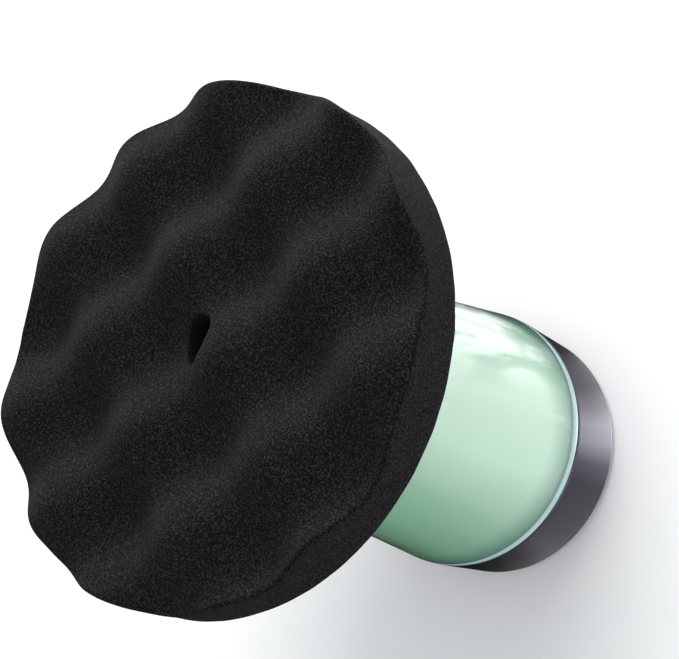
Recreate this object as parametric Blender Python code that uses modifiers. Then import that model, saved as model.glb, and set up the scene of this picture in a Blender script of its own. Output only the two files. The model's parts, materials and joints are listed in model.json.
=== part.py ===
"""Cordless palm-grip rotary polisher with a waffle foam pad.

Metres, +Z up. The tool stands on the foot ring of its rear cap at z = 0, its
spindle on the Z axis and its foam pad on top. Every dimension below is
written in millimetres and turned into metres by MM.
"""
from math import acos, cos, pi, radians, sin, tan

import bmesh
import bpy
from mathutils import Matrix, Vector

MM = 0.001
GAP = 0.3 * MM
WELD = 0.002 * MM
SCREW_MERGE = 0.01 * MM

# Facets round a turned piece, by its size
WIDE_STEPS = 36
SMALL_STEPS = 16
PIN_STEPS = 8

# Foam pad and the plate it sticks to
PAD_R = 75.0 * MM
PAD_EDGE_TAPER = 1.5 * MM
PAD_BACK_Z = 147.2 * MM
PAD_VALLEY = 10.9 * MM
PAD_CREST = 21.3 * MM
PAD_HOLE_R = 6.0 * MM
WAFFLE_PITCH = 35.25 * MM
WAFFLE_TURN = radians(56.9)
WAFFLE_PHASE_ALONG = radians(111.4)
WAFFLE_PHASE_ACROSS = radians(63.5)
WAFFLE_RINGS = 9
LOOP_R = 73.5 * MM
LOOP_THICKNESS = 1.4 * MM
HOOK_R = 61.5 * MM
HOOK_THICKNESS = 1.0 * MM
PLATE_R = 62.5 * MM
PLATE_RIM = 4.0 * MM
PLATE_DEPTH = 13.0 * MM
PLATE_HUB_R = 17.0 * MM
INSERT_R = 11.0 * MM
INSERT_LENGTH = 11.0 * MM
PLATE_SKIN = 1.6 * MM
PLATE_RIM_ROUND = 1.2 * MM
PLATE_HUB_FLARE = 6.0 * MM
PLATE_HUB_HEIGHT = 4.0 * MM
PLATE_HUB_ROUND = 3.0 * MM

# Body shell: a straight cone, widest at the trim ring
SHELL_REAR_Z = 30.9 * MM
SHELL_REAR_R = 43.4 * MM
SHELL_FRONT_Z = 124.0 * MM
SHELL_TAPER = 0.1133
SHELL_WALL = 2.2 * MM
SLEEVE_OFFSET = 2.6 * MM
SLEEVE_WALL = 1.5 * MM
NOSE_Z = 128.0 * MM
NOSE_R = 23.0 * MM
NOSE_LIP = 3.5 * MM
NOSE_SPIGOT = 2.4 * MM
NOSE_FLANGE_INSET = 4.5 * MM
NOSE_FLANGE_HEIGHT = 1.4 * MM
SHELL_FRONT_ROUND = 2.0 * MM
SLEEVE_SETBACK = 0.6 * MM

# Trim ring, rear cap and foot ring
RING_REAR_Z = 27.9 * MM
RING_FRONT_Z = 30.6 * MM
RING_R = 43.6 * MM
CAP_TOP_R = 43.5 * MM
CAP_TOP_Z = 27.6 * MM
CAP_BASE_R = 42.0 * MM
CAP_BASE_Z = 0.6 * MM
CAP_BORE_R = 39.4 * MM
CAP_FLOOR_Z = 4.8 * MM
CAP_RECESS_R = 33.2 * MM
CAP_RECESS_Z = 2.2 * MM
FOOT_R = 39.0 * MM
FOOT_INNER_R = 35.2 * MM
FOOT_HEIGHT = 2.3 * MM
SLEEVE_REAR_R = 39.0 * MM
SLEEVE_REAR_Z = 5.2 * MM
SLEEVE_FLANGE = 4.5 * MM
SLEEVE_FLANGE_R = 27.8 * MM

# Fasteners
CAP_SCREW_PCD_R = 30.2 * MM
CAP_SCREW_COUNT = 3
GEARBOX_SCREW_PCD_R = 28.4 * MM
GEARBOX_SCREW_COUNT = 4
GEARBOX_SCREW_HOLE_R = 1.35 * MM
CAP_SCREW_HOLE_R = 1.75 * MM
GEARBOX_SCREW = (1.1 * MM, 1.9 * MM, 6.0 * MM)
CAP_SCREW = (1.45 * MM, 2.6 * MM, 6.6 * MM)

# Gears: a fixed ring, three planets and a sun, all of one module
MODULE = 1.0 * MM
SUN_TEETH = 12
PLANET_TEETH = 18
RING_TEETH = 48
PLANET_COUNT = 3
GEAR_WIDTH = 7.5 * MM
GEAR_Z = 102.5 * MM
TOOTH_HEIGHT = 0.85
TOOTH_ROOT = 1.2
BACKLASH = 0.26 * MM
PRESSURE_ANGLE = radians(22.5)
RING_GEAR_R = 26.5 * MM
PIN_R = 2.0 * MM
CARRIER_R = 20.5 * MM
CARRIER_Z = 110.6 * MM
CARRIER_THICKNESS = 3.6 * MM
PIN_OVERHANG = 4.4 * MM
PIN_REAR_STEP = 0.5 * MM
CARRIER_ROOM = 1.0 * MM
RING_GEAR_LEDGE = 2.0 * MM

# Gearbox housing, spindle and its two sealed bearings
HOUSING_R = 28.3 * MM
HOUSING_FLANGE_R = 30.8 * MM
HOUSING_REAR_Z = 98.9 * MM
HOUSING_FLANGE = 3.0 * MM
HOUSING_SHOULDER_Z = 114.8 * MM
HOUSING_FRONT_Z = 129.4 * MM
HOUSING_NECK_R = 14.5 * MM
SPINDLE_R = 7.5 * MM
SPINDLE_THREAD_R = 7.0 * MM
SPINDLE_TIP_Z = 141.5 * MM
BEARING_R = 12.0 * MM
BEARING_WIDTH = 5.0 * MM
SPIGOT_STEP = 1.2 * MM
THREAD_SHOULDER = 0.6 * MM
THREAD_CHAMFER = 0.9 * MM
NECK_SLOPE_TOP = 4.6 * MM
NECK_SLOPE_LOW = 2.2 * MM
NECK_ROUND = 0.6 * MM
RACE_WALL = 1.7 * MM
SHIELD_OFFSET = 2.1 * MM
SHIELD_THICKNESS = 0.6 * MM
CLIP_REACH = 1.8 * MM
CLIP_THICKNESS = 0.8 * MM
BEARING_ZS = (115.4 * MM, 121.2 * MM)

# Brushless motor with an outer rotor
MOTOR_PLATE_Z = 95.5 * MM
MOTOR_PLATE_THICKNESS = 3.0 * MM
MOTOR_TUBE_R = 6.2 * MM
MOTOR_TUBE_REAR_Z = 80.5 * MM
SHAFT_R = 2.5 * MM
SHAFT_REAR_Z = 77.8 * MM
MOTOR_BEARING_R = 4.9 * MM
MOTOR_BEARING_PITCH = 3.2 * MM
STATOR_YOKE = 3.2 * MM
STATOR_FILL = 0.34
COIL_INSET = 1.6 * MM
COIL_END = 4.2 * MM
MAGNET_GAP = 0.5 * MM
STATOR_R = 17.0 * MM
STATOR_HEIGHT = 9.0 * MM
STATOR_Z = 83.5 * MM
STATOR_SLOTS = 9
MAGNET_R = 19.4 * MM
ROTOR_R = 21.2 * MM
ROTOR_REAR_Z = 78.2 * MM
ROTOR_FRONT_Z = 94.6 * MM

# Battery: five round cells between two holders
CELL_COUNT = 5
CELL_R = 9.2 * MM
CELL_LENGTH = 65.0 * MM
CELL_NUB = 0.9 * MM
CELL_NUB_R = 2.9 * MM
HOLDER_BORE_R = 4.0 * MM
CELL_REAR_Z = 8.4 * MM
CELL_RING_R = 16.6 * MM
HOLDER_R = 27.5 * MM
HOLDER_FLOOR = 1.5 * MM
HOLDER_OVERLAP = 2.0 * MM

# Control board, beside the cells
BOARD_X = -28.6 * MM
BOARD_WIDTH = 26.0 * MM
BOARD_LENGTH = 42.0 * MM
BOARD_THICKNESS = 1.6 * MM
BOARD_Z = 54.0 * MM
CHIP_SIZE = (1.6 * MM, 9.0 * MM, 8.0 * MM)
CHIP_HEIGHTS = (-10.0 * MM, 6.0 * MM)

# Power button on the cap's side, pressed along -Y, its spring and its switch
BUTTON_Z = 15.0 * MM
BUTTON_R = 6.5 * MM
BUTTON_FACE_Y = 43.6 * MM
BUTTON_INNER_Y = 36.0 * MM
BUTTON_FLANGE_R = 7.6 * MM
BUTTON_FLANGE_Y = 38.2 * MM
BUTTON_DISH = 0.35 * MM
BUTTON_EDGE = 1.2 * MM
BUTTON_FLANGE = 1.0 * MM
BUTTON_STEM_WALL = 1.5 * MM
SWITCH_FACE_Y = 32.2 * MM
SWITCH_SIDE = 9.0 * MM
SWITCH_DEPTH = 4.4 * MM
SPRING_R = 2.6 * MM
SPRING_WIRE_R = 0.2 * MM
SPRING_TURNS = 3
SPRING_POINTS = 10

# Charging port and its hinged cover, round the side of the cap
PORT_TURN = radians(-52.0)
PORT_Z = 15.0 * MM
PORT_WIDTH = 14.0 * MM
PORT_HEIGHT = 9.0 * MM
PORT_FLOOR_R = 39.95 * MM
COVER_INNER_R = 41.15 * MM
COVER_SWING_ROOM = 1.0 * MM
HINGE_X = 6.0 * MM
HINGE_Y = 41.35 * MM
KNUCKLE_R = 1.0 * MM
HINGE_PIN_R = 0.5 * MM
HINGE_PIN_LENGTH = 10.6 * MM
SOCKET_WIDTH = 8.9 * MM
SOCKET_HEIGHT = 3.3 * MM
SOCKET_DEPTH = 7.0 * MM
SOCKET_X = -1.0 * MM
SOCKET_WALL = 0.4 * MM
SOCKET_RECESS = 1.2 * MM
TONGUE_SIZE = (6.4 * MM, 7.0 * MM, 0.7 * MM)
CHARGING_BOARD_DEPTH = 10.0 * MM
CHARGING_BOARD_THICKNESS = 1.4 * MM

# fits, rounds and tool depths
SCREW_HOLE_START = -6.0 * MM
SCREW_HOLE_FLOOR = 0.4 * MM
SPIGOT_REST = 0.2 * MM
CLIP_SLOT = (6.0 * MM, 3.5 * MM, 4.0 * MM)
SEAL_LOW = 1.7 * MM
SEAL_HIGH = 0.2 * MM
SEAL_LIP = 1.6 * MM
SEAL_STEP = 0.3 * MM
MOTOR_FOOT = 2.0 * MM
MOTOR_BEARING_FACES = (0.2 * MM, 3.0 * MM)
COIL_HUB_STEP = 2.2 * MM
COIL_REAR = 2.4 * MM
LEG_HUB_STEP = 0.6 * MM
LEG_REAR = 1.2 * MM
LEG_FRONT = 1.0 * MM
WINDING_BORE_GAP = 0.3 * MM
WINDING_BORE_START = 0.5 * MM
CAN_ROUND = 0.8 * MM
CAN_BASE = 1.5 * MM
MAGNET_REAR = 1.0 * MM
MAGNET_INSET = 0.6 * MM
SHAFT_SETBACK = 0.2 * MM
SLEEVE_SEAT = 2.0 * MM
SLEEVE_FLARE = 4.0 * MM
SLEEVE_WINDOW_GAP = 0.6 * MM
SLEEVE_WINDOW_SPAN = (30.0 * MM, 46.0 * MM)
SLEEVE_PORT_MARGIN = 3.0 * MM
SLEEVE_PORT_DEPTH = 16.0 * MM
NOSE_ROUND = 1.0 * MM
RING_FRONT_STEP = 0.1 * MM
RING_FRONT_ROUND = 0.4 * MM
RING_REAR_ROUND = 0.3 * MM
CAP_SCREW_REACH = 8.0 * MM
CAP_BASE_ROUND = 2.2 * MM
CAP_RECESS_DRAFT = 0.8 * MM
CAP_BUTTON_SPAN = (30.0 * MM, 50.0 * MM)
BLOCK_BEVEL = 0.4 * MM
PORT_TOOL_DEPTH = 8.0 * MM
SOCKET_TOOL_DEPTH = 12.0 * MM
SOCKET_TOOL_SETBACK = 3.0 * MM
DOOR_TRIM = 0.02 * MM
SOCKET_BEVEL = 0.6 * MM
TONGUE_SETBACK = 1.0 * MM
CHARGING_BOARD_MARGIN = 0.8 * MM
CHARGING_BOARD_EXTRA = 2.0 * MM

MATERIALS = {
    "black_foam": ((0.012, 0.012, 0.014), 0.95, 0.0),
    "loop_fabric": ((0.03, 0.03, 0.033), 0.9, 0.0),
    "hook_nylon": ((0.02, 0.02, 0.022), 0.7, 0.0),
    "plate_urethane": ((0.025, 0.025, 0.028), 0.6, 0.0),
    "steel": ((0.56, 0.57, 0.58), 0.3, 1.0),
    "bearing_steel": ((0.62, 0.63, 0.65), 0.22, 1.0),
    "gear_steel": ((0.45, 0.46, 0.48), 0.35, 1.0),
    "cast_aluminium": ((0.6, 0.61, 0.62), 0.45, 1.0),
    "magnet": ((0.2, 0.2, 0.21), 0.35, 1.0),
    "copper": ((0.75, 0.36, 0.2), 0.3, 1.0),
    "mint_plastic": ((0.45, 0.68, 0.54), 0.12, 0.0),
    "pale_plastic": ((0.75, 0.86, 0.86), 0.1, 0.0),
    "gunmetal": ((0.1, 0.09, 0.11), 0.18, 0.9),
    "dark_plastic": ((0.03, 0.03, 0.035), 0.45, 0.0),
    "grey_plastic": ((0.3, 0.31, 0.32), 0.5, 0.0),
    "rubber": ((0.02, 0.02, 0.02), 0.8, 0.0),
    "cell_wrap": ((0.05, 0.2, 0.42), 0.35, 0.0),
    "circuit_board": ((0.02, 0.16, 0.07), 0.45, 0.0),
}


# ---- scene, materials and objects

def clear_scene():
    for item in list(bpy.data.objects):
        bpy.data.objects.remove(item, do_unlink=True)


def collection(name):
    made = bpy.data.collections.new(name)
    bpy.context.scene.collection.children.link(made)
    return made


def material(name):
    made = bpy.data.materials.get(name)
    if made is None:
        colour, roughness, metallic = MATERIALS[name]
        made = bpy.data.materials.new(name)
        made.use_nodes = True
        shader = made.node_tree.nodes["Principled BSDF"]
        shader.inputs["Base Color"].default_value = (*colour, 1.0)
        shader.inputs["Roughness"].default_value = roughness
        shader.inputs["Metallic"].default_value = metallic
        made.diffuse_color = (*colour, 1.0)
    return made


def place(name, mesh, look=None, smooth=False):
    """An object of this mesh: a part if it has a look, a cutter if it has none."""
    made = bpy.data.objects.new(name, mesh)
    if look:
        PARTS.objects.link(made)
        mesh.materials.clear()
        mesh.materials.append(material(look))
    else:
        CUTTERS.objects.link(made)
        made.hide_render = True
        made.display_type = "WIRE"
    if smooth:
        mesh.shade_smooth()
        mesh.set_sharp_from_angle(angle=radians(35))
    return made


def baked_mesh(source, name):
    """The source object's evaluated shape as a welded mesh. The source goes."""
    depsgraph = bpy.context.evaluated_depsgraph_get()
    mesh = bpy.data.meshes.new_from_object(source.evaluated_get(depsgraph))
    mesh.name = name
    bpy.data.objects.remove(source, do_unlink=True)
    work = bmesh.new()
    work.from_mesh(mesh)
    bmesh.ops.remove_doubles(work, verts=work.verts, dist=WELD)
    work.to_mesh(mesh)
    work.free()
    return mesh


def boolean(target, tool, operation="DIFFERENCE"):
    step = target.modifiers.new(tool.name, "BOOLEAN")
    step.operation = operation
    step.solver = "EXACT"
    step.object = tool


def cut_all(target, tools):
    for tool in tools:
        boolean(target, tool)


# ---- shapes

def chamfered(corners, closed):
    """Corners (r, z) as they are, and corners (r, z, size) each cut off by two points."""
    count = len(corners)
    path = []
    for index, corner in enumerate(corners):
        here = Vector(corner[:2])
        is_end = not closed and index in (0, count - 1)
        if len(corner) == 2 or is_end:
            path.append(here)
            continue
        for beside in (corners[index - 1], corners[(index + 1) % count]):
            path.append(here + (Vector(beside[:2]) - here).normalized() * corner[2])
    return path


def turned(name, corners, look=None, steps=SMALL_STEPS, closed=True):
    """A profile turned about Z. It runs down its outer side, top to bottom."""
    path = chamfered(corners, closed)
    edges = [(index, index + 1) for index in range(len(path) - 1)]
    if closed:
        edges.append((len(path) - 1, 0))
    profile = bpy.data.meshes.new(name)
    profile.from_pydata([(r, 0.0, z) for r, z in path], edges, [])
    spun = bpy.data.objects.new(name, profile)
    CUTTERS.objects.link(spun)
    screw = spun.modifiers.new("turn", "SCREW")
    screw.steps = steps
    screw.render_steps = steps
    screw.use_merge_vertices = True
    screw.merge_threshold = SCREW_MERGE
    return place(name, baked_mesh(spun, name), look, smooth=True)


def ring(name, outer_r, inner_r, low, high, look=None, steps=SMALL_STEPS):
    """A plain turned ring."""
    corners = [(outer_r, high), (outer_r, low), (inner_r, low), (inner_r, high)]
    return turned(name, corners, look, steps)


def rod(name, radius, low, high, look=None, steps=PIN_STEPS):
    """A solid cylinder standing on z = low, with a flat and not a corner on +X."""
    work = bmesh.new()
    bmesh.ops.create_cone(
        work, cap_ends=True, segments=steps, radius1=radius, radius2=radius, depth=high - low,
        matrix=Matrix.Translation((0, 0, (low + high) / 2)) @ Matrix.Rotation(pi / steps, 4, "Z"),
    )
    return place(name, to_mesh(work, name), look, smooth=True)


def block(name, size, look=None, bevel=0.0):
    """A box centred on its own origin."""
    work = bmesh.new()
    bmesh.ops.create_cube(work, size=1.0, matrix=Matrix.Diagonal((*size, 1.0)))
    if bevel:
        bmesh.ops.bevel(work, geom=work.edges, offset=bevel, segments=2, profile=0.5, affect="EDGES")
    return place(name, to_mesh(work, name), look)


def to_mesh(work, name):
    mesh = bpy.data.meshes.new(name)
    work.to_mesh(mesh)
    work.free()
    return mesh


def extruded(name, outlines, low, high, look=None):
    """Flat outlines, the first outside and the rest holes, from z = low to high."""
    curve = bpy.data.curves.new(name, "CURVE")
    curve.dimensions = "2D"
    curve.fill_mode = "BOTH"
    curve.extrude = (high - low) / 2
    for outline in outlines:
        spline = curve.splines.new("POLY")
        spline.points.add(len(outline) - 1)
        for point, (x, y) in zip(spline.points, outline):
            point.co = (x, y, 0.0, 1.0)
        spline.use_cyclic_u = True
    flat = bpy.data.objects.new(name, curve)
    CUTTERS.objects.link(flat)
    mesh = baked_mesh(flat, name)
    mesh.transform(Matrix.Translation((0, 0, (low + high) / 2)))
    return place(name, mesh, look)


def circle(radius, steps, centre=(0.0, 0.0)):
    """A circle's points, with a flat and not a corner on +X."""
    turns = [2 * pi * (step + 0.5) / steps for step in range(steps)]
    return [(centre[0] + radius * cos(turn), centre[1] + radius * sin(turn)) for turn in turns]


def polar(radius, turn, z=0.0):
    return Vector((radius * cos(turn), radius * sin(turn), z))


def shell_radius(z):
    return SHELL_REAR_R - (z - SHELL_REAR_Z) * SHELL_TAPER


# ---- pad and plate

def waffle(x, y):
    """Height above the valleys, from 0 to 1, of a square grid of soft bumps."""
    along = x * cos(WAFFLE_TURN) + y * sin(WAFFLE_TURN)
    across = y * cos(WAFFLE_TURN) - x * sin(WAFFLE_TURN)
    wave = cos(2 * pi * along / WAFFLE_PITCH + WAFFLE_PHASE_ALONG)
    wave += cos(2 * pi * across / WAFFLE_PITCH + WAFFLE_PHASE_ACROSS)
    return 0.5 + wave / 4


def foam_pad():
    flat_z = PAD_BACK_Z + PAD_VALLEY
    edge_r = PAD_R - PAD_EDGE_TAPER
    span = edge_r - PAD_HOLE_R
    top = [(PAD_HOLE_R + span * step / WAFFLE_RINGS, flat_z) for step in range(WAFFLE_RINGS + 1)]
    corners = [(PAD_R, PAD_BACK_Z), (PAD_HOLE_R, PAD_BACK_Z), *top]
    pad = turned("foam_pad", corners, "black_foam", WIDE_STEPS)
    for vertex in pad.data.vertices:
        x, y, z = vertex.co
        if z > flat_z - GAP:
            vertex.co.z = flat_z + (PAD_CREST - PAD_VALLEY) * waffle(x, y)


def pad_layers():
    loop_top = PAD_BACK_Z - GAP
    loop_low = loop_top - LOOP_THICKNESS
    ring("pad_loop_backing", LOOP_R, PAD_HOLE_R, loop_low, loop_top, "loop_fabric", WIDE_STEPS)
    hook_top = loop_low - GAP
    hook_low = hook_top - HOOK_THICKNESS
    ring("hook_layer", HOOK_R, PAD_HOLE_R, hook_low, hook_top, "hook_nylon", WIDE_STEPS)
    return hook_low - GAP


def backing_plate(top):
    """The urethane plate, moulded over a steel insert that takes the spindle."""
    base = top - PLATE_DEPTH
    bore = INSERT_R + GAP
    corners = [
        (PLATE_R, top), (PLATE_R, top - PLATE_RIM, PLATE_RIM_ROUND),
        (PLATE_HUB_R + PLATE_HUB_FLARE, base + PLATE_HUB_HEIGHT, PLATE_HUB_ROUND), (PLATE_HUB_R, base),
        (bore, base), (bore, top - PLATE_SKIN), (PAD_HOLE_R, top - PLATE_SKIN), (PAD_HOLE_R, top),
    ]
    turned("backing_plate", corners, "plate_urethane", WIDE_STEPS)
    insert_top = top - PLATE_SKIN - GAP
    insert_low = insert_top - INSERT_LENGTH
    bore = SPINDLE_THREAD_R + GAP
    corners = [
        (INSERT_R, insert_top), (INSERT_R, insert_low),
        (bore, insert_low), (bore, insert_top),
    ]
    turned("plate_insert", corners, "steel")


# ---- gears

def involute(base_r, radius):
    """Angle between an involute's start and its point at this radius."""
    if radius <= base_r:
        return 0.0
    lean = acos(base_r / radius)
    return tan(lean) - lean


def gear_outline(teeth, root_r, tip_r, thinner):
    """Teeth whose flanks are chords of involutes, the first centred on +X.

    Each tooth is thinner by this much at the pitch circle.
    """
    pitch_r = MODULE * teeth / 2
    base_r = pitch_r * cos(PRESSURE_ANGLE)
    half_tooth = pi / (2 * teeth) - thinner / (2 * pitch_r) + involute(base_r, pitch_r)
    radii = [root_r, tip_r]
    halves = [half_tooth - involute(base_r, radius) for radius in radii]
    outline = []
    for tooth in range(teeth):
        centre = 2 * pi * tooth / teeth
        outline += [polar(r, centre - half)[:2] for r, half in zip(radii, halves)]
        outline += [polar(r, centre + half)[:2] for r, half in zip(radii[::-1], halves[::-1])]
    return outline


def outer_gear(name, teeth, bore_r):
    pitch_r = MODULE * teeth / 2
    root_r = pitch_r - MODULE * TOOTH_ROOT
    tip_r = pitch_r + MODULE * TOOTH_HEIGHT
    outlines = [gear_outline(teeth, root_r, tip_r, BACKLASH / 2), circle(bore_r, PIN_STEPS)]
    return extruded(name, outlines, 0.0, GEAR_WIDTH, "gear_steel")


def ring_gear():
    """An internal gear. Its spaces have the outline of an outer gear's teeth."""
    pitch_r = MODULE * RING_TEETH / 2
    root_r = pitch_r + MODULE * TOOTH_ROOT
    tip_r = pitch_r - MODULE * TOOTH_HEIGHT
    space = gear_outline(RING_TEETH, tip_r, root_r, -BACKLASH / 2)
    made = extruded("ring_gear", [circle(RING_GEAR_R, WIDE_STEPS), space], 0.0, GEAR_WIDTH, "gear_steel")
    made.location.z = GEAR_Z
    return made


def gear_train():
    """The sun has a space, and not a tooth, on +X, so that it meets the first planet's tooth there."""
    ring_gear()
    sun = outer_gear("sun_gear", SUN_TEETH, SHAFT_R + GAP)
    sun.location.z = GEAR_Z
    sun.rotation_euler.z = pi / SUN_TEETH
    centre_r = MODULE * (SUN_TEETH + PLANET_TEETH) / 2
    for number in range(PLANET_COUNT):
        turn = 2 * pi * number / PLANET_COUNT
        planet = outer_gear(f"planet_gear_{number + 1}", PLANET_TEETH, PIN_R + GAP)
        planet.location = polar(centre_r, turn, GEAR_Z)
        planet.rotation_euler.z = turn
        pin = rod(f"planet_pin_{number + 1}", PIN_R, 0.0, GEAR_WIDTH + PIN_OVERHANG, "steel")
        pin.location = polar(centre_r, turn, GEAR_Z - PIN_REAR_STEP)


def planet_carrier():
    centre_r = MODULE * (SUN_TEETH + PLANET_TEETH) / 2
    turns = [2 * pi * number / PLANET_COUNT for number in range(PLANET_COUNT)]
    pins = [circle(PIN_R + GAP / 2, PIN_STEPS, polar(centre_r, turn)[:2]) for turn in turns]
    bore = circle(SPINDLE_R - SPIGOT_STEP, SMALL_STEPS)
    outlines = [circle(CARRIER_R, WIDE_STEPS), bore, *pins]
    extruded("planet_carrier", outlines, CARRIER_Z, CARRIER_Z + CARRIER_THICKNESS, "steel")


# ---- gearbox and spindle

def gearbox_housing():
    bore = BEARING_R + GAP / 2
    corners = [
        (HOUSING_NECK_R, HOUSING_FRONT_Z, NECK_ROUND), (HOUSING_NECK_R, HOUSING_SHOULDER_Z + NECK_SLOPE_TOP),
        (HOUSING_R, HOUSING_SHOULDER_Z + NECK_SLOPE_LOW),
        (HOUSING_R, HOUSING_REAR_Z + HOUSING_FLANGE), (HOUSING_FLANGE_R, HOUSING_REAR_Z + HOUSING_FLANGE),
        (HOUSING_FLANGE_R, HOUSING_REAR_Z), (RING_GEAR_R - RING_GEAR_LEDGE, HOUSING_REAR_Z),
        (RING_GEAR_R - RING_GEAR_LEDGE, GEAR_Z - GAP), (RING_GEAR_R + GAP, GEAR_Z - GAP),
        (RING_GEAR_R + GAP, GEAR_Z + GEAR_WIDTH + GAP), (CARRIER_R + CARRIER_ROOM, GEAR_Z + GEAR_WIDTH + GAP),
        (CARRIER_R + CARRIER_ROOM, HOUSING_SHOULDER_Z), (bore, HOUSING_SHOULDER_Z), (bore, HOUSING_FRONT_Z),
    ]
    housing = turned("gearbox_housing", corners, "cast_aluminium", WIDE_STEPS)
    cut_all(housing, gearbox_screw_holes("housing"))


def gearbox_screw_turns():
    return [pi / 4 + 2 * pi * number / GEARBOX_SCREW_COUNT for number in range(GEARBOX_SCREW_COUNT)]


def gearbox_screw_holes(owner):
    tools = []
    for number, turn in enumerate(gearbox_screw_turns()):
        tool = rod(f"{owner}_screw_hole_{number}", GEARBOX_SCREW_HOLE_R,
                   SCREW_HOLE_START, HOUSING_FLANGE - SCREW_HOLE_FLOOR)
        tool.location = polar(GEARBOX_SCREW_PCD_R, turn, HOUSING_REAR_Z)
        tools.append(tool)
    return tools


def cap_screw(name, shank_r, head_r, length, look="steel"):
    """A cap screw with a hexagon socket, its head down and its shank up from z = 0."""
    head = head_r * 0.6
    corners = [(0, length), (shank_r, length), (shank_r, 0), (head_r, 0), (head_r, -head), (0, -head)]
    screw = turned(name, corners, look, PIN_STEPS, closed=False)
    socket = rod(f"{name}_socket", head_r * 0.5, -head * 1.5, -head * 0.3, steps=6)
    boolean(screw, socket)
    return screw, socket


def gearbox_screws():
    low = MOTOR_PLATE_Z - GAP
    for number, turn in enumerate(gearbox_screw_turns()):
        name = f"gearbox_screw_{number + 1}"
        for item in cap_screw(name, *GEARBOX_SCREW):
            item.location = polar(GEARBOX_SCREW_PCD_R, turn, low)


def spindle():
    """Its rear spigot fits the carrier, its shoulder stops the bearings and its tip is threaded."""
    spigot_r = SPINDLE_R - SPIGOT_STEP - GAP / 2
    shoulder_z = CARRIER_Z + CARRIER_THICKNESS + GAP
    thread_z = HOUSING_FRONT_Z + THREAD_SHOULDER
    corners = [
        (0, SPINDLE_TIP_Z), (SPINDLE_THREAD_R - THREAD_CHAMFER, SPINDLE_TIP_Z),
        (SPINDLE_THREAD_R, SPINDLE_TIP_Z - THREAD_CHAMFER), (SPINDLE_THREAD_R, thread_z),
        (SPINDLE_R, thread_z), (SPINDLE_R, shoulder_z), (spigot_r, shoulder_z),
        (spigot_r, CARRIER_Z + SPIGOT_REST), (0, CARRIER_Z + SPIGOT_REST),
    ]
    turned("spindle", corners, "steel", closed=False)


def bearings():
    """Sealed bearings: an outer race with its two shields, and an inner race that turns."""
    for end, low in zip(("rear", "front"), BEARING_ZS):
        high = low + BEARING_WIDTH
        race_r = BEARING_R - RACE_WALL
        shield_r = SPINDLE_R + SHIELD_OFFSET
        corners = [
            (BEARING_R, high), (BEARING_R, low), (shield_r, low),
            (shield_r, low + SHIELD_THICKNESS), (race_r, low + SHIELD_THICKNESS),
            (race_r, high - SHIELD_THICKNESS),
            (shield_r, high - SHIELD_THICKNESS), (shield_r, high),
        ]
        turned(f"{end}_bearing_outer_race", corners, "bearing_steel")
        ring(f"{end}_bearing_inner_race", shield_r - GAP, SPINDLE_R + GAP / 2, low, high, "bearing_steel")


def spindle_clip():
    """The retaining ring on the spindle, in front of the bearings."""
    low = BEARING_ZS[1] + BEARING_WIDTH + GAP
    wide = SPINDLE_R + CLIP_REACH
    inner = SPINDLE_R + GAP / 2
    clip = ring("spindle_clip", wide, inner, low, low + CLIP_THICKNESS, "steel")
    slot = block("clip_slot", CLIP_SLOT)
    slot.location = (wide, 0, low)
    boolean(clip, slot)


def spindle_seal():
    """A rubber ring in the housing's mouth. Its lip leans towards the spindle."""
    low = HOUSING_FRONT_Z - SEAL_LOW
    high = HOUSING_FRONT_Z - SEAL_HIGH
    lip_r = SPINDLE_R + GAP
    corners = [
        (BEARING_R - GAP / 2, high), (BEARING_R - GAP / 2, low), (lip_r + SEAL_LIP, low),
        (lip_r, high - SEAL_STEP), (lip_r, high),
    ]
    turned("spindle_seal", corners, "rubber")


# ---- motor

def motor_mount():
    """The plate that closes the gearbox, with the tube that carries the stator."""
    plate_top = MOTOR_PLATE_Z + MOTOR_PLATE_THICKNESS
    bore = MOTOR_BEARING_R
    corners = [
        (HOUSING_FLANGE_R, plate_top), (HOUSING_FLANGE_R, MOTOR_PLATE_Z),
        (MOTOR_TUBE_R + MOTOR_FOOT, MOTOR_PLATE_Z), (MOTOR_TUBE_R, MOTOR_PLATE_Z - MOTOR_FOOT),
        (MOTOR_TUBE_R, MOTOR_TUBE_REAR_Z), (bore, MOTOR_TUBE_REAR_Z), (bore, plate_top),
    ]
    mount = turned("motor_mount", corners, "cast_aluminium", WIDE_STEPS)
    cut_all(mount, gearbox_screw_holes("mount"))
    for end, low in (("rear", MOTOR_TUBE_REAR_Z), ("front", plate_top - MOTOR_BEARING_PITCH)):
        rear_z = low + MOTOR_BEARING_FACES[0]
        front_z = low + MOTOR_BEARING_FACES[1]
        ring(f"{end}_motor_bearing", bore - GAP / 2, SHAFT_R + GAP / 2, rear_z, front_z, "bearing_steel")


def slot_outline(wide, narrow, share, count):
    """A star of blocks, each filling this share of its pitch at the wide radius."""
    outline = []
    half = pi / count
    for number in range(count):
        centre = 2 * half * number
        outline += [polar(narrow, centre - half)[:2], polar(narrow, centre - half * share)[:2]]
        outline += [polar(wide, centre - half * share)[:2], polar(wide, centre)[:2]]
        outline += [polar(wide, centre + half * share)[:2], polar(narrow, centre + half * share)[:2]]
    return outline


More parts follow.
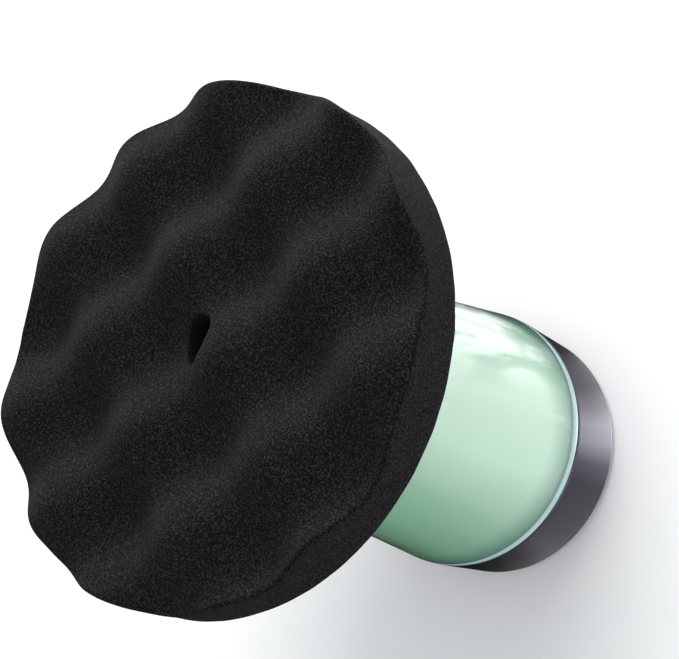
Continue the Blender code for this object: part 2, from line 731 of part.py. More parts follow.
def stator():
    core = slot_outline(STATOR_R, MOTOR_TUBE_R + STATOR_YOKE, STATOR_FILL, STATOR_SLOTS)
    bore = circle(MOTOR_TUBE_R + GAP, SMALL_STEPS)
    extruded("stator_core", [core, bore], STATOR_Z, STATOR_Z + STATOR_HEIGHT, "gear_steel")
    half = pi / STATOR_SLOTS
    coil_r = STATOR_R - COIL_INSET
    end_r = MOTOR_TUBE_R + COIL_END
    low = STATOR_Z - GAP
    fingers = slot_outline(coil_r, end_r, 0.36, STATOR_SLOTS)
    fingers = [(x * cos(half) - y * sin(half), x * sin(half) + y * cos(half)) for x, y in fingers]
    coils = extruded("stator_windings", [fingers, circle(end_r - COIL_HUB_STEP, SMALL_STEPS)],
                     low - COIL_REAR, low, "copper")
    legs = extruded("winding_legs", [fingers, circle(end_r - LEG_HUB_STEP, SMALL_STEPS)],
                    low - LEG_REAR, STATOR_Z + STATOR_HEIGHT + LEG_FRONT)
    hollow_top = STATOR_Z + 2 * STATOR_HEIGHT
    hollow = rod("winding_hollow", end_r + WINDING_BORE_GAP, low - WINDING_BORE_START, hollow_top,
                 steps=WIDE_STEPS)
    boolean(legs, hollow)
    boolean(coils, legs, "UNION")


def rotor():
    """The steel can with its magnets turns round the stator, on the motor shaft."""
    inner = MAGNET_R + GAP
    hub_r = SHAFT_R + GAP / 2
    corners = [
        (ROTOR_R, ROTOR_FRONT_Z), (ROTOR_R, ROTOR_REAR_Z, CAN_ROUND), (hub_r, ROTOR_REAR_Z),
        (hub_r, ROTOR_REAR_Z + CAN_BASE), (inner, ROTOR_REAR_Z + CAN_BASE), (inner, ROTOR_FRONT_Z),
    ]
    turned("rotor_can", corners, "steel", WIDE_STEPS)
    magnets = (MAGNET_R, STATOR_R + MAGNET_GAP)
    ring("rotor_magnets", *magnets, STATOR_Z - MAGNET_REAR, ROTOR_FRONT_Z - MAGNET_INSET, "magnet",
         WIDE_STEPS)
    rod("motor_shaft", SHAFT_R, SHAFT_REAR_Z, GEAR_Z + GEAR_WIDTH - SHAFT_SETBACK, "steel", SMALL_STEPS)


# ---- battery and electronics

def cells():
    turns = [pi / 2 + 2 * pi * (number + 0.5) / CELL_COUNT for number in range(CELL_COUNT)]
    high = CELL_REAR_Z + CELL_LENGTH
    tip = high + CELL_NUB
    for number, turn in enumerate(turns):
        corners = [
            (0, tip), (CELL_NUB_R, tip), (CELL_NUB_R, high),
            (CELL_R, high), (CELL_R, CELL_REAR_Z), (0, CELL_REAR_Z),
        ]
        cell = turned(f"battery_cell_{number + 1}", corners, "cell_wrap", SMALL_STEPS, closed=False)
        cell.location = polar(CELL_RING_R, turn)
    cell_holder("rear", CAP_FLOOR_Z + GAP, CELL_REAR_Z + HOLDER_OVERLAP, turns)
    cell_holder("front", high - HOLDER_OVERLAP, tip + GAP + HOLDER_FLOOR, turns)


def cell_holder(side, low, high, turns):
    """A disc with a pocket for the end of each cell."""
    holder = ring(f"{side}_cell_holder", HOLDER_R, HOLDER_BORE_R, low, high, "dark_plastic", WIDE_STEPS)
    pocket_high = CELL_REAR_Z + CELL_LENGTH + CELL_NUB + GAP
    for number, turn in enumerate(turns):
        name = f"{side}_pocket_{number}"
        pocket = rod(name, CELL_R + GAP, CELL_REAR_Z - GAP, pocket_high, steps=SMALL_STEPS)
        pocket.location = polar(CELL_RING_R, turn)
        boolean(holder, pocket)


def control_board():
    board = block("control_board", (BOARD_THICKNESS, BOARD_WIDTH, BOARD_LENGTH), "circuit_board")
    board.location = (BOARD_X, 0, BOARD_Z)
    for number, height in enumerate(CHIP_HEIGHTS):
        chip = block(f"chip_{number}", CHIP_SIZE)
        chip.location = (BOARD_X + BOARD_THICKNESS, 0, BOARD_Z + height)
        boolean(board, chip, "UNION")


# ---- body, ring and cap

def body_shell():
    inner_rear = SHELL_REAR_R - SHELL_WALL
    front_r = shell_radius(SHELL_FRONT_Z)
    corners = [
        (NOSE_R + NOSE_LIP, SHELL_FRONT_Z), (front_r, SHELL_FRONT_Z, SHELL_FRONT_ROUND),
        (SHELL_REAR_R, SHELL_REAR_Z), (inner_rear, SHELL_REAR_Z),
        (front_r - SHELL_WALL, SHELL_FRONT_Z - SHELL_WALL), (NOSE_R + NOSE_LIP, SHELL_FRONT_Z - SHELL_WALL),
    ]
    turned("body_shell", corners, "mint_plastic", WIDE_STEPS)


def inner_sleeve():
    """The structural sleeve under the skin. Its rear flange takes the cap's screws."""
    front_z = SHELL_FRONT_Z - SHELL_WALL - SLEEVE_SETBACK
    front_r = shell_radius(front_z) - SLEEVE_OFFSET
    step_r = shell_radius(SHELL_REAR_Z) - SLEEVE_OFFSET
    rear_in = SLEEVE_REAR_R - SLEEVE_WALL
    seat_z = HOUSING_REAR_Z + HOUSING_FLANGE + GAP
    corners = [
        (front_r, front_z), (step_r, SHELL_REAR_Z), (SLEEVE_REAR_R, RING_REAR_Z - SLEEVE_SETBACK),
        (SLEEVE_REAR_R, SLEEVE_REAR_Z), (SLEEVE_FLANGE_R, SLEEVE_REAR_Z),
        (SLEEVE_FLANGE_R, SLEEVE_REAR_Z + SLEEVE_FLANGE), (rear_in, SLEEVE_REAR_Z + SLEEVE_FLANGE),
        (rear_in, RING_REAR_Z - SLEEVE_SETBACK), (step_r - SLEEVE_WALL, SHELL_REAR_Z),
        (shell_radius(seat_z) - SLEEVE_OFFSET - SLEEVE_WALL, seat_z),
        (HOUSING_R + GAP, seat_z), (HOUSING_R + GAP, seat_z + SLEEVE_SEAT),
        (front_r - SLEEVE_WALL, seat_z + SLEEVE_FLARE),
        (front_r - SLEEVE_WALL, front_z),
    ]
    sleeve = turned("inner_sleeve", corners, "grey_plastic", WIDE_STEPS)
    window = side_tool("sleeve_button_window", BUTTON_FLANGE_R + SLEEVE_WINDOW_GAP,
                       *SLEEVE_WINDOW_SPAN, BUTTON_Z)
    port = block("sleeve_port_window", (SOCKET_WIDTH + SLEEVE_PORT_MARGIN, SLEEVE_PORT_DEPTH,
                                       SOCKET_HEIGHT + SLEEVE_PORT_MARGIN))
    port.location = (SOCKET_X, SLEEVE_REAR_R, PORT_Z)
    port_frame(port)
    cut_all(sleeve, [window, port, *cap_screw_holes("sleeve", SLEEVE_REAR_Z)])


def nose_collar():
    """The collar that closes the body's front round the gearbox neck."""
    inner = HOUSING_NECK_R + GAP
    lip = SHELL_FRONT_Z + GAP
    flange_r = shell_radius(SHELL_FRONT_Z) - NOSE_FLANGE_INSET
    corners = [
        (NOSE_R, NOSE_Z, NOSE_ROUND), (flange_r, lip + NOSE_FLANGE_HEIGHT), (flange_r, lip),
        (NOSE_R + NOSE_LIP - GAP, lip), (NOSE_R + NOSE_LIP - GAP, lip - NOSE_SPIGOT),
        (inner, lip - NOSE_SPIGOT),
        (inner, NOSE_Z),
    ]
    turned("nose_collar", corners, "dark_plastic", WIDE_STEPS)


def trim_ring():
    inner = shell_radius(SHELL_REAR_Z) - SLEEVE_OFFSET + GAP
    corners = [
        (RING_R - RING_FRONT_STEP, RING_FRONT_Z, RING_FRONT_ROUND), (RING_R, RING_REAR_Z, RING_REAR_ROUND),
        (inner, RING_REAR_Z), (inner, RING_FRONT_Z),
    ]
    turned("trim_ring", corners, "pale_plastic", WIDE_STEPS)


def side_tool(name, radius, low, high, z, look=None, steps=SMALL_STEPS):
    """A cylinder lying along +Y, from y = low to y = high."""
    tool = rod(name, radius, low, high, look, steps)
    tool.rotation_euler.x = -pi / 2
    tool.location.z = z
    return tool


def cap_screw_turns():
    return [-pi / 2 + 2 * pi * number / CAP_SCREW_COUNT for number in range(CAP_SCREW_COUNT)]


def cap_screw_holes(owner, z):
    tools = []
    for number, turn in enumerate(cap_screw_turns()):
        tool = rod(f"{owner}_cap_screw_hole_{number}", CAP_SCREW_HOLE_R, -CAP_SCREW_REACH, CAP_SCREW_REACH)
        tool.location = polar(CAP_SCREW_PCD_R, turn, z)
        tools.append(tool)
    return tools


def rear_cap():
    """The cup with the foot groove, the button hole and the charging port pocket."""
    groove_r = FOOT_R + GAP
    groove_inner_r = FOOT_INNER_R - GAP
    groove_z = FOOT_HEIGHT + GAP
    corners = [
        (0, CAP_FLOOR_Z), (CAP_BORE_R, CAP_FLOOR_Z), (CAP_BORE_R, CAP_TOP_Z),
        (CAP_TOP_R, CAP_TOP_Z), (CAP_BASE_R, CAP_BASE_Z, CAP_BASE_ROUND), (groove_r, CAP_BASE_Z),
        (groove_r, groove_z), (groove_inner_r, groove_z), (groove_inner_r, CAP_BASE_Z),
        (CAP_RECESS_R + CAP_RECESS_DRAFT, CAP_BASE_Z), (CAP_RECESS_R, CAP_RECESS_Z), (0, CAP_RECESS_Z),
    ]
    cap = turned("rear_cap", corners, "gunmetal", WIDE_STEPS, closed=False)
    hole = side_tool("cap_button_hole", BUTTON_R + GAP, *CAP_BUTTON_SPAN, BUTTON_Z)
    cut_all(cap, [hole, *port_tools(), *cap_screw_holes("cap", CAP_RECESS_Z)])


def foot_ring():
    ring("foot_ring", FOOT_R, FOOT_INNER_R, 0.0, FOOT_HEIGHT, "rubber", WIDE_STEPS)


def cap_screws():
    for number, turn in enumerate(cap_screw_turns()):
        name = f"cap_screw_{number + 1}"
        for item in cap_screw(name, *CAP_SCREW):
            item.location = polar(CAP_SCREW_PCD_R, turn, CAP_RECESS_Z - GAP)


# ---- button, spring and switch

def power_button():
    """A domed cap with a flange that stops it behind the wall. Modelled about Z, then laid along +Y."""
    corners = [
        (0, BUTTON_FACE_Y), (BUTTON_R * 0.55, BUTTON_FACE_Y - BUTTON_DISH),
        (BUTTON_R, BUTTON_FACE_Y - BUTTON_EDGE),
        (BUTTON_R, BUTTON_FLANGE_Y), (BUTTON_FLANGE_R, BUTTON_FLANGE_Y),
        (BUTTON_FLANGE_R, BUTTON_FLANGE_Y - BUTTON_FLANGE),
        (SPRING_R + BUTTON_STEM_WALL, BUTTON_FLANGE_Y - BUTTON_FLANGE),
        (SPRING_R + BUTTON_STEM_WALL, BUTTON_INNER_Y), (0, BUTTON_INNER_Y),
    ]
    button = turned("power_button", corners, "dark_plastic", SMALL_STEPS, closed=False)
    button.rotation_euler.x = -pi / 2
    button.location.z = BUTTON_Z


def button_spring():
    low = SWITCH_FACE_Y + SPRING_WIRE_R + GAP
    high = BUTTON_INNER_Y - SPRING_WIRE_R - GAP
    curve = bpy.data.curves.new("button_spring", "CURVE")
    curve.dimensions = "3D"
    curve.bevel_depth = SPRING_WIRE_R
    curve.bevel_resolution = 1
    curve.use_fill_caps = True
    spline = curve.splines.new("POLY")
    count = SPRING_TURNS * SPRING_POINTS
    spline.points.add(count)
    for step, point in enumerate(spline.points):
        turn = 2 * pi * step / SPRING_POINTS
        height = low + (high - low) * step / count
        point.co = (SPRING_R * cos(turn), height, BUTTON_Z + SPRING_R * sin(turn), 1.0)
    coil = bpy.data.objects.new("button_spring", curve)
    CUTTERS.objects.link(coil)
    place("button_spring", baked_mesh(coil, "button_spring"), "steel", smooth=True)


def button_switch():
    low = SLEEVE_REAR_Z + SLEEVE_FLANGE + GAP
    high = BUTTON_Z + SWITCH_SIDE / 2
    switch = block("button_switch", (SWITCH_SIDE, SWITCH_DEPTH, high - low), "dark_plastic", BLOCK_BEVEL)
    switch.location = (0, SWITCH_FACE_Y - SWITCH_DEPTH / 2, (low + high) / 2)


# ---- charging port

def port_frame(item):
    """Turns an item that was placed at the +Y side about Z to where the port is."""
    turn = Matrix.Rotation(PORT_TURN, 4, "Z")
    item.location = turn @ item.location
    item.rotation_euler.z = PORT_TURN
    return item


def port_tools():
    """The cover's pocket, its pin's bore and the socket's hole."""
    low_x = -PORT_WIDTH / 2 - GAP
    high_x = HINGE_X + KNUCKLE_R + COVER_SWING_ROOM
    pocket = block("port_pocket", (high_x - low_x, PORT_TOOL_DEPTH, PORT_HEIGHT + 2 * GAP))
    pocket.location = ((low_x + high_x) / 2, PORT_FLOOR_R + PORT_TOOL_DEPTH / 2, PORT_Z)
    reach = HINGE_PIN_LENGTH / 2 + GAP
    bore = rod("hinge_pin_bore", HINGE_PIN_R + GAP / 2, -reach, reach)
    bore.location = (HINGE_X, HINGE_Y, PORT_Z)
    hole = block("socket_hole", (SOCKET_WIDTH + 2 * GAP, SOCKET_TOOL_DEPTH, SOCKET_HEIGHT + 2 * GAP))
    hole.location = (SOCKET_X, PORT_FLOOR_R - SOCKET_TOOL_SETBACK, PORT_Z)
    return [port_frame(item) for item in (pocket, bore, hole)]


def port_cover():
    """A curved door that follows the cap's side, with a knuckle along its hinge edge."""
    low = PORT_Z - PORT_HEIGHT / 2
    high = PORT_Z + PORT_HEIGHT / 2
    corners = [
        (cap_radius(high), high), (cap_radius(low), low), (COVER_INNER_R, low), (COVER_INNER_R, high),
    ]
    around = turned("cover_ring", corners, steps=2 * WIDE_STEPS)
    door_width = PORT_WIDTH / 2 + HINGE_X
    door = block("port_cover", (door_width, PORT_TOOL_DEPTH, PORT_HEIGHT - DOOR_TRIM), "gunmetal")
    shift = Vector((HINGE_X - door_width / 2, 0, 0))
    door.data.transform(Matrix.Translation(shift - Vector((HINGE_X, 0, 0))))
    door.location = (HINGE_X, HINGE_Y, PORT_Z)
    port_frame(door)
    boolean(door, around, "INTERSECT")
    knuckle = rod("cover_knuckle", KNUCKLE_R, low - PORT_Z, high - PORT_Z)
    bore = rod("cover_knuckle_bore", HINGE_PIN_R + GAP / 2, -PORT_HEIGHT, PORT_HEIGHT)
    for item in (knuckle, bore):
        item.location = (HINGE_X, HINGE_Y, PORT_Z)
        port_frame(item)
    boolean(door, knuckle, "UNION")
    boolean(door, bore)
    half = HINGE_PIN_LENGTH / 2
    pin = rod("cover_hinge_pin", HINGE_PIN_R, -half, half, "steel")
    pin.location = (HINGE_X, HINGE_Y, PORT_Z)
    port_frame(pin)


def cap_radius(z):
    return CAP_BASE_R + (CAP_TOP_R - CAP_BASE_R) * (z - CAP_BASE_Z) / (CAP_TOP_Z - CAP_BASE_Z)


def charging_socket():
    """A flat socket shell whose mouth faces out, with its contact tongue, and the board behind it."""
    mouth_y = PORT_FLOOR_R - GAP
    socket = block("charging_socket", (SOCKET_WIDTH, SOCKET_DEPTH, SOCKET_HEIGHT), "steel", SOCKET_BEVEL)
    socket.location = (SOCKET_X, mouth_y - SOCKET_DEPTH / 2, PORT_Z)
    inside = (SOCKET_WIDTH - 2 * SOCKET_WALL, SOCKET_DEPTH, SOCKET_HEIGHT - 2 * SOCKET_WALL)
    cavity = block("socket_cavity", inside, bevel=BLOCK_BEVEL)
    cavity.location = (SOCKET_X, mouth_y - SOCKET_DEPTH / 2 + SOCKET_RECESS, PORT_Z)
    tongue = block("socket_tongue", TONGUE_SIZE)
    tongue.location = (SOCKET_X, mouth_y - SOCKET_DEPTH / 2 - TONGUE_SETBACK, PORT_Z)
    boolean(cavity, tongue)
    boolean(socket, cavity)
    board_outer_y = SLEEVE_REAR_R - SLEEVE_WALL - CHARGING_BOARD_MARGIN
    board_size = (SOCKET_WIDTH + CHARGING_BOARD_EXTRA, CHARGING_BOARD_DEPTH, CHARGING_BOARD_THICKNESS)
    board = block("charging_board", board_size, "circuit_board")
    board_z = PORT_Z - SOCKET_HEIGHT / 2 - GAP - CHARGING_BOARD_THICKNESS / 2
    board.location = (SOCKET_X, board_outer_y - CHARGING_BOARD_DEPTH / 2, board_z)
    for item in (socket, cavity, tongue, board):
        port_frame(item)


def main():
    foam_pad()
    backing_plate(pad_layers())
    gear_train()
    planet_carrier()
    gearbox_housing()
    gearbox_screws()
    spindle()
    bearings()
    spindle_clip()
    spindle_seal()
    motor_mount()
    stator()
    rotor()
    cells()
    control_board()
    body_shell()
    inner_sleeve()
    nose_collar()
    trim_ring()
    rear_cap()
    foot_ring()
    cap_screws()
    power_button()
    button_spring()
    button_switch()
    port_cover()
    charging_socket()


clear_scene()
PARTS = collection("rotary_polisher")
CUTTERS = collection("cutters")
main()
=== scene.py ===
import json
from math import cos, pi, radians, sin

import bmesh
import bpy
import numpy as np
from mathutils import Matrix, Vector, noise


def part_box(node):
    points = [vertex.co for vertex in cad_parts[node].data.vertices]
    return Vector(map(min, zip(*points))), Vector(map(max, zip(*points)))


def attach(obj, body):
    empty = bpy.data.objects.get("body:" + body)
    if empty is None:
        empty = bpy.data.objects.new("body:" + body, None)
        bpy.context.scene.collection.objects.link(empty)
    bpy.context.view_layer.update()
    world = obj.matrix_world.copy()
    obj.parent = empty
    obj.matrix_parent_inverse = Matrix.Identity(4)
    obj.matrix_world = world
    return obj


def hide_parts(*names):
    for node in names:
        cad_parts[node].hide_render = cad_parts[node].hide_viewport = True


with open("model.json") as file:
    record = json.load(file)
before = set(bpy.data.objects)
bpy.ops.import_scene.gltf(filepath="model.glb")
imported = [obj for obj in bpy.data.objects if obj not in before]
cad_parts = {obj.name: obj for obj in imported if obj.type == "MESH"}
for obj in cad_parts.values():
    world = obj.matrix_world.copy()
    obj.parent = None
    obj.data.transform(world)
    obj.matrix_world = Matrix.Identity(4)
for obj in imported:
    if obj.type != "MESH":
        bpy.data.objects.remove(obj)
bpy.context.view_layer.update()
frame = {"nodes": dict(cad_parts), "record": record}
NODES = frame["nodes"]
MM = 0.001

# Foam pad
PAD_R = 75.0 * MM
PAD_BACK_Z = 147.2 * MM
PAD_VALLEY = 10.9 * MM
PAD_CREST = 21.3 * MM
WAFFLE_PITCH = 35.25 * MM
WAFFLE_TURN = radians(56.9)
WAFFLE_PHASE_ALONG = radians(111.4)
WAFFLE_PHASE_ACROSS = radians(63.5)
HOLE_LENGTH = 15.6 * MM
HOLE_WIDTH = 13.6 * MM
LIP_R = 1.3 * MM
RIM_ROUND = 1.1 * MM
RIM_INSET = 0.25 * MM
RIM_RAG = 0.2 * MM
SIDE_SAG = 0.25 * MM
BACK_INSET = 0.4 * MM
LUMPS = ((110.0, 0.5 * MM), (420.0, 0.12 * MM))
PAD_STEPS = 400
PAD_RINGS = 150

# Welds and broken edges
WELD = 0.002 * MM
CAP_WELD = 0.01 * MM
AXIS_R = 0.002 * MM
EDGE_FINE = 0.1 * MM
EDGE_SOFT = 0.2 * MM
EDGE_EASED = 0.3 * MM
EDGE_BLUNT = 0.4 * MM
EDGE_ROUND = 0.5 * MM

# Backing layers
LAYER_INSET = 0.3 * MM
LOOP_EDGE = 0.4 * MM
LOOP_DEPTH = 0.35 * MM
LOOP_SCALE = 700.0
LOOP_LIFT = 0.25 * MM
BACKING_BORE_R = 6.2 * MM
LOOP_RINGS = 48
LOOP_STEPS = 240
HOOK_BORE_R = 6.4 * MM
HOOK_PITCH = 2.4 * MM
HOOK_INNER_R = 8.0 * MM
HOOK_MARGIN = 1.2 * MM
HOOK_INSET = 0.2 * MM
HOOK_HEAD = 0.2 * MM
HOOK_SINK = 0.02 * MM
TAPE_THICKNESS = 0.35 * MM

# Backing plate
PLATE_INSET = 0.05 * MM
PLATE_BORE_R = 11.3 * MM
PLATE_HOLE_R = 6.0 * MM
PLATE_SKIN = 1.6 * MM
PLATE_RIM = 4.0 * MM
PLATE_UNDERSIDE = 5.4 * MM
PLATE_UNDERSIDE_STEP = 7.0 * MM
PLATE_SHOULDER = 6.4 * MM
PLATE_SHOULDER_R = 44.0 * MM
PLATE_WAIST = 4.0 * MM
PLATE_WAIST_R = 23.0 * MM
PLATE_HUB_R = 17.0 * MM

# Turned pieces
STEPS = 192
BUTTON_STEPS = 96
SHELL_TAPER = 0.1133
SHELL_WALL = 2.2 * MM
SHELL_SEGMENT = 2.0 * MM
SHELL_ROUND = 2.2 * MM
RING_WALL = 2.4 * MM
RING_DRAFT = 0.25 * MM
RING_ROUND = 0.7 * MM

# Cap
CAP_BORE_R = 39.4 * MM
CAP_FLOOR_Z = 4.8 * MM
CAP_TOP_R = 43.5 * MM
CAP_TOP_Z = 27.6 * MM
CAP_LOW_R = 42.12 * MM
CAP_LOW_Z = 2.8 * MM
CAP_BASE_R = 40.6 * MM
CAP_BASE_Z = 0.6 * MM
GROOVE_INNER_R = 34.9 * MM
GROOVE_OUTER_R = 39.3 * MM
GROOVE_Z = 2.6 * MM
RECESS_EDGE_R = 34.0 * MM
RECESS_R = 33.2 * MM
RECESS_Z = 2.2 * MM

# Nose and foot
NOSE_R = 23.0 * MM
NOSE_BORE_R = 14.8 * MM
NOSE_LIP_R = 28.2 * MM
NOSE_LIP_TOP = 4.1 * MM
NOSE_LIP_LOW = 2.7 * MM
NOSE_SPIGOT_R = 26.2 * MM
NOSE_SEAT = 0.3 * MM
FOOT_INNER_R = 35.25 * MM
FOOT_OUTER_R = 38.95 * MM
FOOT_TOP_Z = 2.25 * MM
TREAD_R = (36.6 * MM, 36.75 * MM, 37.45 * MM, 37.6 * MM)
TREAD_Z = 0.35 * MM
MOUTH_R = 26.5 * MM

# Side pieces of the cap
BUTTON_Z = 15.0 * MM
BUTTON_BORE_R = 6.8 * MM
BUTTON_R = 6.45 * MM
BUTTON_RING_R = 5.2 * MM
BUTTON_DISH_R = (2.6 * MM, 4.6 * MM)
BUTTON_DISH = (0.75 * MM, 0.7 * MM, 0.15 * MM)
BUTTON_EDGE = 0.6 * MM
BUTTON_SIDE_Y = 38.25 * MM
BUTTON_FLANGE_R = 7.55 * MM
BUTTON_FLANGE_Y = (38.2 * MM, 37.2 * MM)
BUTTON_STEM_R = 4.1 * MM
BUTTON_TOOL_Y = 40.0 * MM
BUTTON_TOOL_LENGTH = 20.0 * MM
PORT_TURN = radians(-52.0)
PORT_Z = 15.0 * MM
PORT_FLOOR_R = 39.95 * MM
SCREW_PCD_R = 30.2 * MM
SCREW_HOLE_R = 1.75 * MM
SCREW_HOLE_Z = 2.0 * MM
SCREW_HOLE_LENGTH = 16.0 * MM
PIN_AT = (6.0 * MM, 41.35 * MM, PORT_Z)
PIN_BORE_R = 0.65 * MM
PIN_BORE_LENGTH = 11.2 * MM
PORT_POCKET = (
    (-7.3 * MM, PORT_FLOOR_R, PORT_Z - 4.8 * MM), (8.0 * MM, 48.0 * MM, PORT_Z + 4.8 * MM),
)
SOCKET_HOLE = (
    (-5.75 * MM, 30.0 * MM, PORT_Z - 1.95 * MM), (3.75 * MM, 43.0 * MM, PORT_Z + 1.95 * MM),
)

# Camera, fitted to the view of the pad's rim and the body
CAMERA_AT = (0.0176, -0.3133, 0.4719)
CAMERA_RIGHT = (0.3793, -0.7002, -0.6048)
CAMERA_UP = (0.9253, 0.2870, 0.2479)
CAMERA_BACK = (0.0, -0.6537, 0.7568)
LENS_MM = 84.83
SENSOR_MM = 36.0


# ---- mesh helpers

def grid_mesh(name, points, close_rows=True, close_columns=True):
    """A mesh of a grid of points, rows by columns, wrapped round where asked."""
    rows, columns = points.shape[:2]
    mesh = bpy.data.meshes.new(name)
    r = np.arange(rows if close_rows else rows - 1)
    c = np.arange(columns if close_columns else columns - 1)
    rr, cc = np.meshgrid(r, c, indexing="ij")
    r2 = (rr + 1) % rows
    c2 = (cc + 1) % columns
    quads = np.stack([rr * columns + cc, rr * columns + c2, r2 * columns + c2, r2 * columns + cc], -1)
    mesh.from_pydata(points.reshape(-1, 3).tolist(), [], quads.reshape(-1, 4).tolist())
    return mesh


def finished(name, mesh, look, body, angle=40.0, stands_for=()):
    """An object of this mesh, its normals outward, riding on a body."""
    work = bmesh.new()
    work.from_mesh(mesh)
    bmesh.ops.remove_doubles(work, verts=work.verts, dist=WELD)
    bmesh.ops.recalc_face_normals(work, faces=work.faces)
    work.to_mesh(mesh)
    work.free()
    mesh.materials.clear()
    mesh.materials.append(look)
    mesh.shade_smooth()
    mesh.set_sharp_from_angle(angle=radians(angle))
    made = bpy.data.objects.new(name, mesh)
    bpy.context.scene.collection.objects.link(made)
    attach(made, body)
    if stands_for:
        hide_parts(*stands_for)
    return made


def rounded(corners, points=5):
    """A closed profile of (r, z, round) corners, each cut back by its round and curved."""
    line = []
    count = len(corners)
    for i, (r, z, size) in enumerate(corners):
        here = np.array((r, z))
        if size <= 0:
            line.append(here)
            continue
        before = np.array(corners[i - 1][:2])
        after = np.array(corners[(i + 1) % count][:2])
        start = here + (before - here) / np.linalg.norm(before - here) * size
        end = here + (after - here) / np.linalg.norm(after - here) * size
        for step in range(points + 1):
            t = step / points
            line.append((1 - t) ** 2 * start + 2 * t * (1 - t) * here + t * t * end)
    return np.array(line)


def swept(line, steps=STEPS):
    """The grid of points of a line of (r, z) turned round Z."""
    turns = np.arange(steps) * 2 * pi / steps
    points = np.zeros((steps, len(line), 3))
    points[..., 0] = np.cos(turns)[:, None] * line[None, :, 0]
    points[..., 1] = np.sin(turns)[:, None] * line[None, :, 0]
    points[..., 2] = line[None, :, 1]
    return points


def turned(name, corners, look, body, stands_for=()):
    """A closed profile turned round Z."""
    mesh = grid_mesh(name, swept(rounded(corners)))
    return finished(name, mesh, look, body, stands_for=stands_for)


# ---- materials

class Look:
    """A Principled material with tools to add noise, bump and wear."""

    def __init__(self, name, colour, rough, metallic=0.0):
        self.item = bpy.data.materials.new(name)
        self.item.use_nodes = True
        self.tree = self.item.node_tree
        self.shader = self.tree.nodes["Principled BSDF"]
        self.colour = colour
        self.shader.inputs["Base Color"].default_value = (*colour, 1.0)
        self.shader.inputs["Roughness"].default_value = rough
        self.shader.inputs["Metallic"].default_value = metallic
        self.item.diffuse_color = (*colour, 1.0)
        self.coords = self.tree.nodes.new("ShaderNodeTexCoord").outputs["Object"]
        self.normal = None
        self.base = None

    def node(self, kind, **values):
        made = self.tree.nodes.new(kind)
        for key, value in values.items():
            setattr(made, key, value)
        return made

    def link(self, start, end):
        self.tree.links.new(start, end)

    def noise(self, scale, detail=3.0, rough=0.55, distortion=0.0, stretch=None):
        made = self.node("ShaderNodeTexNoise")
        made.inputs["Scale"].default_value = scale
        made.inputs["Detail"].default_value = detail
        made.inputs["Roughness"].default_value = rough
        made.inputs["Distortion"].default_value = distortion
        source = self.coords
        if stretch:
            mapping = self.node("ShaderNodeMapping")
            mapping.inputs["Scale"].default_value = stretch
            self.link(self.coords, mapping.inputs["Vector"])
            source = mapping.outputs["Vector"]
        self.link(source, made.inputs["Vector"])
        return made.outputs["Fac"]

    def cells(self, scale, output="Distance"):
        made = self.node("ShaderNodeTexVoronoi")
        made.inputs["Scale"].default_value = scale
        self.link(self.coords, made.inputs["Vector"])
        return made.outputs[output]

    def spread(self, value, low, high, out_low=0.0, out_high=1.0):
        made = self.node("ShaderNodeMapRange")
        made.inputs["From Min"].default_value = low
        made.inputs["From Max"].default_value = high
        made.inputs["To Min"].default_value = out_low
        made.inputs["To Max"].default_value = out_high
        self.link(value, made.inputs["Value"])
        return made.outputs["Result"]

    def math(self, operation, first, second):
        made = self.node("ShaderNodeMath", operation=operation)
        for socket, value in zip(made.inputs, (first, second)):
            if isinstance(value, float):
                socket.default_value = value
            else:
                self.link(value, socket)
        return made.outputs["Value"]

    def tint(self, share, colour):
        """Mixes a colour over the base by this share."""
        made = self.node("ShaderNodeMix", data_type="RGBA")
        self.link(share, made.inputs["Factor"])
        if self.base is None:
            made.inputs["A"].default_value = (*self.colour, 1.0)
        else:
            self.link(self.base, made.inputs["A"])
        made.inputs["B"].default_value = (*colour, 1.0)
        self.base = made.outputs["Result"]
        self.link(self.base, self.shader.inputs["Base Color"])
        return self

    def mottle(self, scale, amount, detail=3.0, stretch=None):
        dark = tuple(c * (1 - amount) for c in self.colour)
        light = tuple(min(1.0, c * (1 + amount)) for c in self.colour)
        field = self.noise(scale, detail, stretch=stretch)
        self.tint(self.spread(field, 0.5, 0.25), dark)
        return self.tint(self.spread(field, 0.5, 0.75), light)

    def roughen(self, scale, low, high, stretch=None):
        value = self.spread(self.noise(scale, 4.0, stretch=stretch), 0.3, 0.7, low, high)
        self.link(value, self.shader.inputs["Roughness"])
        return self

    def bump(self, height, distance, strength=1.0):
        made = self.node("ShaderNodeBump")
        made.inputs["Strength"].default_value = strength
        made.inputs["Distance"].default_value = distance
        self.link(height, made.inputs["Height"])
        if self.normal is not None:
            self.link(self.normal, made.inputs["Normal"])
        self.normal = made.outputs["Normal"]
        self.link(self.normal, self.shader.inputs["Normal"])
        return self

    def wear(self, colour, amount=0.6):
        """Rubbed edges, broken up by noise."""
        edge = self.node("ShaderNodeNewGeometry").outputs["Pointiness"]
        edge = self.spread(edge, 0.52, 0.62)
        patch = self.spread(self.noise(220.0, 5.0), 0.42, 0.62)
        share = self.math("MULTIPLY", self.math("MULTIPLY", edge, patch), amount)
        return self.tint(share, colour)

    def height_band(self, low, high):
        """0 below one height, 1 above the other, along Z."""
        split = self.node("ShaderNodeSeparateXYZ")
        self.link(self.coords, split.inputs["Vector"])
        return self.spread(split.outputs["Z"], low, high)


